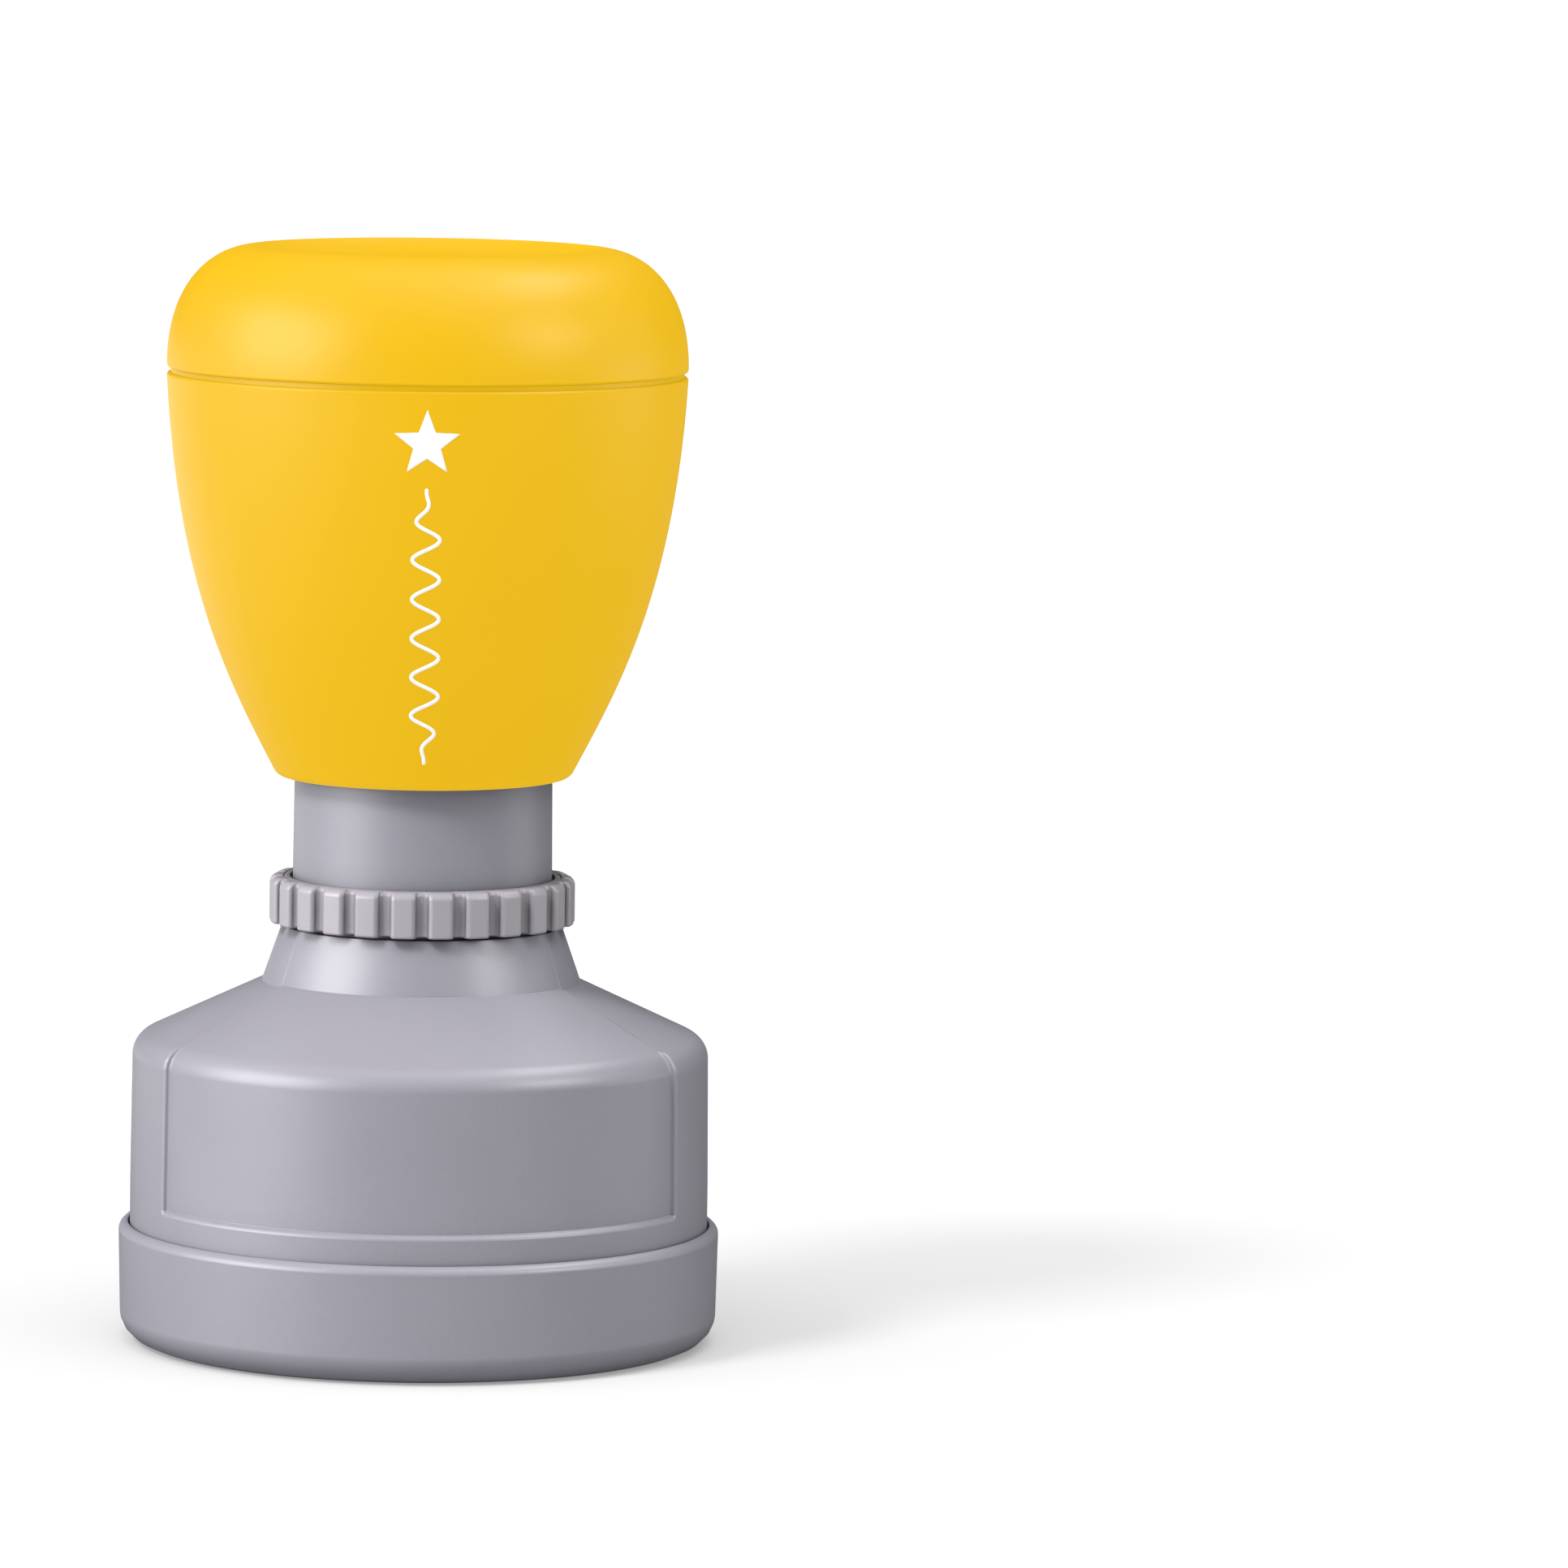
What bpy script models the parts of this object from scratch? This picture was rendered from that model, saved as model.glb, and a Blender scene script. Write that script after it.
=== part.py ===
"""Round pre-inked hand stamp, modelled as the separate pieces it is put together from.

The stamp stands upright on its closed dust cap.  Every turned piece shares the world Z axis, the
front faces -Y, and the underside of the dust cap lies on z = 0.  Sizes are in millimetres and are
turned into metres when a mesh is made.
"""
import math

import bmesh
import bpy
from mathutils import Matrix, Vector

MM = 0.001

# Gaps between neighbours
REST_GAP = 0.3            # between two faces that rest on each other
SLIDE_GAP = 0.25          # around a piece that slides in another

EDGE_ROUNDING = 0.5       # on the edges of hidden pieces

# How finely round pieces are divided
OUTER_SEGMENTS = 48
HANDLE_SEGMENTS = 36
INNER_SEGMENTS = 24
SMALL_SEGMENTS = 12
CORNER_STEPS = 2
PANEL_BEND_STEPS = 3
GRIP_STEPS = 10
DOME_STEPS = 6
DISH_STEPS = 4
SPRING_STEPS_PER_TURN = 12
WIRE_SIDES = 5
SEAL_SIDES = 8
SMOOTH_BELOW_DEGREES = 35
MERGE_DISTANCE = 0.0001

# Dust cap: a shallow cup that the housing's skirt drops into
CAP_RADIUS = 26.0
CAP_FOOT_RADIUS = 25.76
CAP_FOOT_ROUNDING = 2.4
CAP_HEIGHT = 10.2
CAP_RIM_ROUNDING = 0.65
CAP_WALL = 0.8
CAP_FLOOR = 1.2
CAP_INSIDE_DRAFT = 0.3
CAP_INSIDE_ROUNDING = 0.4

# Housing: skirt, shoulder, cone and the neck tube that the handle slides on
SKIRT_BOTTOM = CAP_FLOOR + REST_GAP
SKIRT_SPIGOT_RADIUS = 24.5
SKIRT_SPIGOT_TOP_Z = 8.9
SKIRT_RADIUS = 25.0
SKIRT_WALL = 1.6
SHOULDER_RADIUS = 24.86
SHOULDER_Z = 26.1
CONE_FOOT_RADIUS = 13.76
CONE_FOOT_Z = 31.3
CONE_TOP_RADIUS = 12.08
CONE_TOP_Z = 36.15
THREAD_RADIUS = 11.5
THREAD_TOP_Z = 39.1
THREAD_CHAMFER = 0.3
NECK_RADIUS = 11.2
NECK_TOP_RADIUS = 11.0
NECK_TOP_Z = 62.0
NECK_BORE_RADIUS = 9.7
LEDGE_TOP_Z = 35.0
LEDGE_THICKNESS = 2.0
HOLLOW_TOP_RADIUS = 10.5
HOLLOW_CONE_RADIUS = 12.56
GUIDE_BOTTOM_Z = 21.5
GUIDE_WALL = 1.5

# The two shallow panels, front and back, that are set into the housing
PANEL_HALF_ANGLE = 61.0
PANEL_EDGE_ANGLE = 0.4
PANEL_BOTTOM_Z = 12.6
PANEL_BEVEL = 0.15
PANEL_DEPTH = 0.45
PANEL_RISE = 0.35
PANEL_BEND = 3.4
FRAME_BEND = 2.1

# Height-adjusting ring and the washer let into its top
RING_BOTTOM_Z = 36.4
RING_TOP_Z = 40.35
RING_RADIUS = 13.19
RING_ROOT_RADIUS = 12.5
RING_BORE_RADIUS = 11.75
RING_TEETH = 25
RING_TOOTH_WIDTH = 2.1
RING_ROOT_WIDTH = 0.8
RING_TOP_RADIUS = 12.45
RING_TOOTH_ROUNDING = 0.65
WASHER_OUTER_RADIUS = 11.95
WASHER_INNER_RADIUS = 11.4
WASHER_HEIGHT = 0.6
WASHER_GAP = 0.15

# Plunger: the hollow shaft that joins the handle to the die holder
SHAFT_RADIUS = 6.5
INK_BORE_RADIUS = 2.5
FLANGE_RADIUS = 13.5
FLANGE_BOTTOM_Z = 19.2
FLANGE_TOP_Z = 21.2
HEAD_RADIUS = 9.4
HEAD_BOTTOM_Z = 60.0
HEAD_TOP_Z = 70.5
PLUG_BORE_RADIUS = 5.6
PLUG_BORE_FLOOR_Z = 66.4

# Refill plug, with the sealing ring in its groove, that closes the plunger's ink bore
PLUG_FLOOR_GAP = 0.4
PLUG_GROOVE_LOW = 1.1
PLUG_GROOVE_HEIGHT = 1.4
PLUG_GROOVE_RADIUS = 4.1
PLUG_NECK_RADIUS = 2.4
PLUG_NECK_HEIGHT = 2.3
PLUG_KNOB_RADIUS = 3.4
PLUG_KNOB_HEIGHT = 1.4
PLUG_TOP_Z = 77.2
SEAL_RADIUS = 4.8
SEAL_CORD_RADIUS = 0.55

# Return spring, between the ledge in the neck and the plunger's head
SPRING_MEAN_RADIUS = 8.1
SPRING_WIRE_RADIUS = 0.45
SPRING_TURNS = 8
SPRING_END_GAP = 0.2
SPRING_WASHER_HEIGHT = 0.5
SPRING_WASHER_PLAY = 0.4

# Handle: flared grip and the domed cap that pulls off it
GRIP_BOTTOM_Z = 49.05
GRIP_BOTTOM_RADIUS = 12.64
GRIP_BOTTOM_ROUNDING = 0.9
GRIP_TOP_Z = 83.6
GRIP_TOP_RADIUS = 22.4
GRIP_PULL_LOW = (16.31, 56.14)
GRIP_PULL_HIGH = (21.41, 64.69)
GRIP_WALL = 1.7
GRIP_BORE_TOP_Z = 53.0
WEB_BOTTOM_Z = HEAD_TOP_Z + REST_GAP
WEB_TOP_Z = WEB_BOTTOM_Z + 2.0
WEB_HOLE_RADIUS = 5.8
SKIN_TO_WEB = 1.0         # height between the web and the skin's nearest point
WALL_STEP_AT_WEB = 0.4
JOINT_ROOT_RADIUS = 22.1
JOINT_LEDGE_Z = 84.0
SPIGOT_RADIUS = 20.5
SPIGOT_BOTTOM_Z = 82.1
SPIGOT_TOP_Z = 86.4
SPIGOT_WALL = 1.4
DOME_BOTTOM_Z = 84.2
DOME_TOP_Z = 94.65
DOME_RIM_RADIUS = 14.93
DOME_PULL_Z = 91.7
DOME_PULL_RADIUS = 18.32
DOME_WALL = 1.45
DISH_DEPTH = 0.9

# Die stack, from the holder down to the printing face
HOLDER_RADIUS = 22.9
HOLDER_TOP_Z = 18.9
HOLDER_PLATE_BOTTOM_Z = 15.9
HOLDER_STEP_Z = 13.5
HOLDER_BOTTOM_Z = 10.0
HOLDER_SPIGOT_RADIUS = 22.1
HOLDER_BORE_RADIUS = 21.4
PAD_RADIUS = 21.1
PAD_BOTTOM_Z = 12.3
DIE_FLANGE_BOTTOM_Z = 9.6
DIE_FACE_RADIUS = 19.6
DIE_FACE_Z = 7.5
DIE_RELIEF = 1.0
DIE_BORDER_WIDTH = 1.0
STAR_POINTS = 5
STAR_RADIUS = 12.0
STAR_WAIST_RADIUS = 5.2
DIE_RING_BOTTOM_Z = 8.2
DIE_RING_LIP_RADIUS = 19.9
DIE_RING_LIP = 1.1

# Screws
HOLDER_SCREW_CIRCLE = 10.9
HANDLE_SCREW_CIRCLE = 7.6
SCREW_HEAD_RADIUS = 1.9
SCREW_HEAD_HEIGHT = 1.3
SCREW_HEAD_ROUNDING = 0.7
SCREW_SHANK_RADIUS = 0.9
SCREW_POINT_RADIUS = 0.45
SCREW_POINT_LENGTH = 0.8
SCREW_CLEARANCE = 0.25
SCREW_TIP_GAP = 0.4
DRILL_OVERRUN = 1.0
RECESS_LENGTH = 2.2
RECESS_WIDTH = 0.44
RECESS_DEPTH = 0.7
HOLDER_SCREW_LENGTH = 4.7
HANDLE_SCREW_LENGTH = 9.0


# ---------------------------------------------------------------- outlines

def rounded(corners, steps=CORNER_STEPS):
    """Outline through (r, z) corners; a third number on a corner is the radius it is rounded by."""
    points = []
    last = len(corners) - 1
    for index, corner in enumerate(corners):
        here = Vector(corner[:2])
        if len(corner) < 3:
            points.append(tuple(here))
            continue
        to_before = (Vector(corners[index - 1][:2]) - here).normalized()
        to_after = (Vector(corners[0 if index == last else index + 1][:2]) - here).normalized()
        half_angle = to_before.angle(to_after) / 2
        centre = here + (to_before + to_after).normalized() * (corner[2] / math.sin(half_angle))
        reach = corner[2] / math.tan(half_angle)
        start = here + to_before * reach - centre
        end = here + to_after * reach - centre
        for step in range(steps + 1):
            spoke = start.lerp(end, 0.5 * (1 - math.cos(math.pi * step / steps)))
            points.append(tuple(centre + spoke.normalized() * corner[2]))
    return points


def bezier(start, pull_start, pull_end, end, steps):
    """Points of a cubic curve from start to end, both included."""
    points = []
    for step in range(steps + 1):
        t = step / steps
        weights = ((1 - t) ** 3, 3 * t * (1 - t) ** 2, 3 * t * t * (1 - t), t ** 3)
        controls = (start, pull_start, pull_end, end)
        points.append(tuple(sum(w * c[axis] for w, c in zip(weights, controls)) for axis in (0, 1)))
    return points


def grip_curve():
    """Side of the flared grip, from its narrow lower end to the joint with the domed cap."""
    start = (GRIP_BOTTOM_RADIUS, GRIP_BOTTOM_Z)
    return bezier(start, GRIP_PULL_LOW, GRIP_PULL_HIGH, (GRIP_TOP_RADIUS, GRIP_TOP_Z), GRIP_STEPS)


def dome_curve(inset):
    """Side of the domed cap, from its lower edge to the rim round the dish, moved in by inset."""
    start = (GRIP_TOP_RADIUS - inset, DOME_BOTTOM_Z)
    end = (DOME_RIM_RADIUS, DOME_TOP_Z - inset)
    upright_pull = (start[0], DOME_PULL_Z - inset)
    level_pull = (DOME_PULL_RADIUS - inset / 2, end[1])
    return bezier(start, upright_pull, level_pull, end, DOME_STEPS)


# ---------------------------------------------------------------- meshes and objects

def clear_scene():
    for existing in list(bpy.data.objects):
        bpy.data.objects.remove(existing, do_unlink=True)


def linear(channel):
    """Linear value of one 0-255 display colour channel."""
    value = channel / 255
    if value <= 0.04045:
        return value / 12.92
    return ((value + 0.055) / 1.055) ** 2.4


def make_material(name, red, green, blue, roughness, metallic=0.0):
    material = bpy.data.materials.new(name)
    material.use_nodes = True
    surface = material.node_tree.nodes["Principled BSDF"]
    surface.inputs["Base Color"].default_value = (linear(red), linear(green), linear(blue), 1.0)
    surface.inputs["Roughness"].default_value = roughness
    surface.inputs["Metallic"].default_value = metallic
    return material


def make_object(name, bm, material):
    """Close the bmesh into a named, smooth-shaded object with one material."""
    bmesh.ops.recalc_face_normals(bm, faces=bm.faces)
    mesh = bpy.data.meshes.new(name)
    bm.to_mesh(mesh)
    bm.free()
    mesh.materials.append(material)
    mesh.shade_smooth()
    mesh.set_sharp_from_angle(angle=math.radians(SMOOTH_BELOW_DEGREES))
    obj = bpy.data.objects.new(name, mesh)
    bpy.context.collection.objects.link(obj)
    return obj


def turned_mesh(outline, segments):
    """Turn an (r, z) outline about Z.  An outline that starts on the axis also ends on it."""
    bm = bmesh.new()
    verts = [bm.verts.new((r * MM, 0, z * MM)) for r, z in outline]
    edges = [bm.edges.new(pair) for pair in zip(verts, verts[1:])]
    if outline[0][0] > 0:
        edges.append(bm.edges.new((verts[-1], verts[0])))
    bmesh.ops.spin(bm, geom=verts + edges, cent=(0, 0, 0), axis=(0, 0, 1),
                   angle=2 * math.pi, steps=segments, use_merge=True)
    bmesh.ops.remove_doubles(bm, verts=bm.verts, dist=MERGE_DISTANCE * MM)
    return bm


def turned(name, outline, material, segments):
    return make_object(name, turned_mesh(outline, segments), material)


def ringed_mesh(columns):
    """Closed skin over columns of points, each column a closed outline at its own angle."""
    bm = bmesh.new()
    grid = []
    for angle, outline in columns:
        turn = Matrix.Rotation(angle, 3, "Z")
        grid.append([bm.verts.new(turn @ Vector((r * MM, 0, z * MM))) for r, z in outline])
    for column, following in zip(grid, grid[1:] + grid[:1]):
        for row in range(len(column)):
            below = row - 1
            bm.faces.new((column[below], following[below], following[row], column[row]))
    return bm


def prism_mesh(corners, z_low, z_high):
    """Upright prism over an outline of (x, y) corners."""
    bm = bmesh.new()
    base = bm.faces.new([bm.verts.new((x * MM, y * MM, z_low * MM)) for x, y in corners])
    top = bmesh.ops.extrude_face_region(bm, geom=[base])["geom"]
    raised = [item for item in top if isinstance(item, bmesh.types.BMVert)]
    bmesh.ops.translate(bm, verts=raised, vec=(0, 0, (z_high - z_low) * MM))
    return bm


def spots_on_circle(radius, count, first_degrees):
    """Evenly spaced (x, y) places on a circle."""
    angles = [math.radians(first_degrees + 360 * index / count) for index in range(count)]
    return [(radius * math.cos(angle), radius * math.sin(angle)) for angle in angles]


def hole_drills(name, spots, radius, z_low, z_high):
    """One cutter with an upright cylinder at each (x, y) spot."""
    bm = bmesh.new()
    for x, y in spots:
        place = Matrix.Translation((x * MM, y * MM, (z_low + z_high) / 2 * MM))
        bmesh.ops.create_cone(bm, cap_ends=True, segments=SMALL_SEGMENTS, radius1=radius * MM,
                              radius2=radius * MM, depth=(z_high - z_low) * MM, matrix=place)
    return make_tool(name, bm)


def make_tool(name, bm):
    """Wireframe object that cuts or joins pieces and is not a piece of the stamp."""
    bmesh.ops.recalc_face_normals(bm, faces=bm.faces)
    mesh = bpy.data.meshes.new(name)
    bm.to_mesh(mesh)
    bm.free()
    tool = bpy.data.objects.new(name, mesh)
    bpy.context.collection.objects.link(tool)
    tool.hide_render = True
    tool.display_type = "WIRE"
    return tool


def combine(obj, tool, operation):
    """Exact boolean of obj with a tool object."""
    modifier = obj.modifiers.new(operation.title(), "BOOLEAN")
    modifier.operation = operation
    modifier.object = tool
    modifier.solver = "EXACT"


# ---------------------------------------------------------------- dust cap and housing

def build_dust_cap(grey):
    inner = CAP_RADIUS - CAP_WALL
    outline = rounded([
        (0, 0),
        (CAP_FOOT_RADIUS, 0, CAP_FOOT_ROUNDING),
        (CAP_RADIUS, CAP_HEIGHT, CAP_RIM_ROUNDING),
        (inner, CAP_HEIGHT),
        (inner - CAP_INSIDE_DRAFT, CAP_FLOOR, CAP_INSIDE_ROUNDING),
        (0, CAP_FLOOR),
    ])
    return turned("dust_cap", outline, grey, OUTER_SEGMENTS)


def housing_outside(is_panel):
    """Outer side of the housing from the skirt's lower edge to the foot of the cone."""
    sunk = PANEL_DEPTH if is_panel else 0
    rise = PANEL_RISE if is_panel else 0
    bend = PANEL_BEND if is_panel else FRAME_BEND
    return rounded([
        (SKIRT_SPIGOT_RADIUS, SKIRT_BOTTOM),
        (SKIRT_SPIGOT_RADIUS, SKIRT_SPIGOT_TOP_Z),
        (SKIRT_RADIUS, SKIRT_SPIGOT_TOP_Z + SKIRT_RADIUS - SKIRT_SPIGOT_RADIUS),
        (SKIRT_RADIUS, PANEL_BOTTOM_Z - PANEL_BEVEL),
        (SKIRT_RADIUS - sunk, PANEL_BOTTOM_Z + PANEL_BEVEL),
        (SHOULDER_RADIUS - sunk, SHOULDER_Z, bend),
        (CONE_FOOT_RADIUS - rise / 3, CONE_FOOT_Z + rise),
        (CONE_TOP_RADIUS, CONE_TOP_Z),
    ], steps=PANEL_BEND_STEPS)


def housing_inside():
    """Neck, bore, guide tube and hollow of the housing, from the thread's foot to the skirt."""
    guide_radius = SHAFT_RADIUS + SLIDE_GAP
    skirt_bore = SKIRT_RADIUS - SKIRT_WALL
    return [
        (THREAD_RADIUS, CONE_TOP_Z),
        (THREAD_RADIUS, THREAD_TOP_Z - THREAD_CHAMFER),
        (NECK_RADIUS, THREAD_TOP_Z),
        (NECK_TOP_RADIUS, NECK_TOP_Z),
        (NECK_BORE_RADIUS, NECK_TOP_Z),
        (NECK_BORE_RADIUS, LEDGE_TOP_Z),
        (guide_radius, LEDGE_TOP_Z),
        (guide_radius, GUIDE_BOTTOM_Z),
        (guide_radius + GUIDE_WALL, GUIDE_BOTTOM_Z),
        (guide_radius + GUIDE_WALL, LEDGE_TOP_Z - LEDGE_THICKNESS),
        (HOLLOW_TOP_RADIUS, LEDGE_TOP_Z - LEDGE_THICKNESS),
        (HOLLOW_CONE_RADIUS, CONE_FOOT_Z - SKIRT_WALL),
        (skirt_bore, SHOULDER_Z - SKIRT_WALL),
        (skirt_bore, SKIRT_BOTTOM),
    ]


def housing_columns():
    """Angles round the housing, each marked as panel or frame."""
    edges = [facing + side * PANEL_HALF_ANGLE for facing in (-90, 90) for side in (-1, 1)]
    step = 360 / OUTER_SEGMENTS
    columns = []
    for index in range(OUTER_SEGMENTS):
        angle = index * step - 180
        if min(abs(angle - edge) for edge in edges) > step / 4:
            columns.append(angle)
    for edge in edges:
        columns += [edge - PANEL_EDGE_ANGLE, edge + PANEL_EDGE_ANGLE]
    return [(angle, abs(abs(angle) - 90) < PANEL_HALF_ANGLE) for angle in sorted(columns)]


def build_housing(grey):
    inside = housing_inside()
    columns = []
    for angle, is_panel in housing_columns():
        columns.append((math.radians(angle), housing_outside(is_panel) + inside))
    return make_object("housing", ringed_mesh(columns), grey)


# ---------------------------------------------------------------- adjusting ring

def ring_side(is_tooth):
    """Outer side of the adjusting ring at a tooth or at the root between two teeth."""
    tooth = rounded([
        (RING_RADIUS, RING_BOTTOM_Z),
        (RING_RADIUS, RING_TOP_Z, RING_TOOTH_ROUNDING),
        (RING_TOP_RADIUS, RING_TOP_Z),
    ])
    if is_tooth:
        return tooth
    return [(min(r, RING_ROOT_RADIUS), z) for r, z in tooth]


def build_adjusting_ring(grey):
    seat_z = RING_TOP_Z - WASHER_HEIGHT - WASHER_GAP
    bore = [
        (WASHER_OUTER_RADIUS + WASHER_GAP, RING_TOP_Z),
        (WASHER_OUTER_RADIUS + WASHER_GAP, seat_z),
        (RING_BORE_RADIUS, seat_z),
        (RING_BORE_RADIUS, RING_BOTTOM_Z),
    ]
    pitch = 2 * math.pi / RING_TEETH
    tooth_half = RING_TOOTH_WIDTH / 2 / RING_RADIUS
    root_half = RING_ROOT_WIDTH / 2 / RING_ROOT_RADIUS
    columns = []
    for tooth in range(RING_TEETH):
        middle = math.pi / 2 + tooth * pitch
        columns.append((middle - tooth_half, ring_side(True) + bore))
        columns.append((middle + tooth_half, ring_side(True) + bore))
        columns.append((middle + pitch / 2 - root_half, ring_side(False) + bore))
        columns.append((middle + pitch / 2 + root_half, ring_side(False) + bore))
    return make_object("adjusting_ring", ringed_mesh(columns), grey)


def build_stop_washer(grey):
    low = RING_TOP_Z - WASHER_HEIGHT
    outline = [
        (WASHER_INNER_RADIUS, low),
        (WASHER_OUTER_RADIUS, low),
        (WASHER_OUTER_RADIUS, RING_TOP_Z),
        (WASHER_INNER_RADIUS, RING_TOP_Z),
    ]
    return turned("stop_washer", outline, grey, HANDLE_SEGMENTS)


# ---------------------------------------------------------------- plunger and spring

def build_plunger(grey):
    outline = rounded([
        (INK_BORE_RADIUS, FLANGE_BOTTOM_Z),
        (FLANGE_RADIUS, FLANGE_BOTTOM_Z),
        (FLANGE_RADIUS, FLANGE_TOP_Z),
        (SHAFT_RADIUS, FLANGE_TOP_Z),
        (SHAFT_RADIUS, HEAD_BOTTOM_Z),
        (HEAD_RADIUS, HEAD_BOTTOM_Z),
        (HEAD_RADIUS, HEAD_TOP_Z),
        (PLUG_BORE_RADIUS, HEAD_TOP_Z),
        (PLUG_BORE_RADIUS, PLUG_BORE_FLOOR_Z),
        (INK_BORE_RADIUS, PLUG_BORE_FLOOR_Z),
    ])
    plunger = turned("plunger", outline, grey, INNER_SEGMENTS)
    radius = SCREW_SHANK_RADIUS + SCREW_CLEARANCE
    lower = hole_drills("flange_drills", holder_screw_spots(), radius,
                        FLANGE_BOTTOM_Z - DRILL_OVERRUN, FLANGE_TOP_Z + DRILL_OVERRUN)
    deepest = WEB_TOP_Z - HANDLE_SCREW_LENGTH - SCREW_TIP_GAP
    upper = hole_drills("head_drills", handle_screw_spots(), radius, deepest,
                        HEAD_TOP_Z + DRILL_OVERRUN)
    combine(plunger, lower, "DIFFERENCE")
    combine(plunger, upper, "DIFFERENCE")
    return plunger


def build_spring_washer(steel):
    low = LEDGE_TOP_Z + REST_GAP
    high = low + SPRING_WASHER_HEIGHT
    bore = SHAFT_RADIUS + SPRING_WASHER_PLAY
    rim = NECK_BORE_RADIUS - SPRING_WASHER_PLAY
    outline = [(bore, low), (rim, low), (rim, high), (bore, high)]
    return turned("spring_washer", outline, steel, INNER_SEGMENTS)


def build_return_spring(steel):
    """Open coil: round wire carried along a helix, its two ends closed with flat caps."""
    seat = LEDGE_TOP_Z + REST_GAP + SPRING_WASHER_HEIGHT + SPRING_END_GAP
    low = seat + SPRING_WIRE_RADIUS
    high = HEAD_BOTTOM_Z - REST_GAP - SPRING_WIRE_RADIUS
    steps = SPRING_TURNS * SPRING_STEPS_PER_TURN
    bm = bmesh.new()
    hoops = []
    for step in range(steps + 1):
        turn = Matrix.Rotation(2 * math.pi * SPRING_TURNS * step / steps, 3, "Z")
        middle_z = low + (high - low) * step / steps
        hoop = []
        for side in range(WIRE_SIDES):
            around = 2 * math.pi * side / WIRE_SIDES
            r = SPRING_MEAN_RADIUS + SPRING_WIRE_RADIUS * math.cos(around)
            z = middle_z + SPRING_WIRE_RADIUS * math.sin(around)
            hoop.append(bm.verts.new(turn @ Vector((r * MM, 0, z * MM))))
        hoops.append(hoop)
    for hoop, following in zip(hoops, hoops[1:]):
        for side in range(WIRE_SIDES):
            bm.faces.new((hoop[side - 1], hoop[side], following[side], following[side - 1]))
    bm.faces.new(hoops[0])
    bm.faces.new(hoops[-1])
    return make_object("return_spring", bm, steel)


# ---------------------------------------------------------------- handle

def build_handle_grip(yellow):
    """Flared shell on a bored foot, with the web that carries it and a spigot for the cap."""
    side = grip_curve()
    skin = [(r - GRIP_WALL, z) for r, z in side]
    upper_skin = [point for point in skin if point[1] > WEB_TOP_Z + SKIN_TO_WEB]
    lower_skin = [point for point in skin
                  if GRIP_BORE_TOP_Z + SKIN_TO_WEB < point[1] < WEB_BOTTOM_Z - SKIN_TO_WEB]
    wall_at_web = upper_skin[0][0] - WALL_STEP_AT_WEB
    spigot_bore = SPIGOT_RADIUS - SPIGOT_WALL
    bore = NECK_RADIUS + SLIDE_GAP
    foot = rounded([
        (bore, GRIP_BOTTOM_Z),
        (GRIP_BOTTOM_RADIUS, GRIP_BOTTOM_Z, GRIP_BOTTOM_ROUNDING),
        side[1],
    ])
    outline = foot + side[2:] + [
        (JOINT_ROOT_RADIUS, GRIP_TOP_Z),
        (JOINT_ROOT_RADIUS, JOINT_LEDGE_Z),
        (SPIGOT_RADIUS, JOINT_LEDGE_Z),
        (SPIGOT_RADIUS, SPIGOT_TOP_Z),
        (spigot_bore, SPIGOT_TOP_Z),
        (spigot_bore, SPIGOT_BOTTOM_Z),
    ] + upper_skin[-2::-1] + [
        (wall_at_web, WEB_TOP_Z),
        (WEB_HOLE_RADIUS, WEB_TOP_Z),
        (WEB_HOLE_RADIUS, WEB_BOTTOM_Z),
        (wall_at_web, WEB_BOTTOM_Z),
    ] + lower_skin[::-1] + [(bore, GRIP_BORE_TOP_Z)]
    grip = turned("handle_grip", outline, yellow, HANDLE_SEGMENTS)
    drills = hole_drills("web_drills", handle_screw_spots(), SCREW_SHANK_RADIUS + SCREW_CLEARANCE,
                         WEB_BOTTOM_Z - DRILL_OVERRUN, WEB_TOP_Z + DRILL_OVERRUN)
    combine(grip, drills, "DIFFERENCE")
    return grip


def build_handle_cap(yellow):
    """Domed shell with a shallow dish in its top."""
    dish = []
    for step in range(DISH_STEPS):
        share = step / DISH_STEPS
        depth = DISH_DEPTH * (1 - share ** 2)
        dish.append((DOME_RIM_RADIUS * share, DOME_TOP_Z - depth))
    ceiling = [(0, DOME_TOP_Z - DISH_DEPTH - DOME_WALL)]
    outline = dish + dome_curve(0)[::-1] + dome_curve(DOME_WALL) + ceiling
    return turned("handle_cap", outline, yellow, HANDLE_SEGMENTS)


def build_refill_plug(rubber):
    low = PLUG_BORE_FLOOR_Z + PLUG_FLOOR_GAP
    groove_low = low + PLUG_GROOVE_LOW
    groove_high = groove_low + PLUG_GROOVE_HEIGHT
    body = PLUG_BORE_RADIUS - PLUG_FLOOR_GAP
    knob_low = PLUG_TOP_Z - PLUG_KNOB_HEIGHT
    outline = rounded([
        (0, low),
        (body, low, EDGE_ROUNDING),
        (body, groove_low),
        (PLUG_GROOVE_RADIUS, groove_low),
        (PLUG_GROOVE_RADIUS, groove_high),
        (body, groove_high),
        (body, WEB_TOP_Z),
        (PLUG_NECK_RADIUS, knob_low - PLUG_NECK_HEIGHT),
        (PLUG_NECK_RADIUS, knob_low),
        (PLUG_KNOB_RADIUS, knob_low),
        (PLUG_KNOB_RADIUS, PLUG_TOP_Z, EDGE_ROUNDING),
        (0, PLUG_TOP_Z),
    ])
    return turned("refill_plug", outline, rubber, INNER_SEGMENTS)


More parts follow.
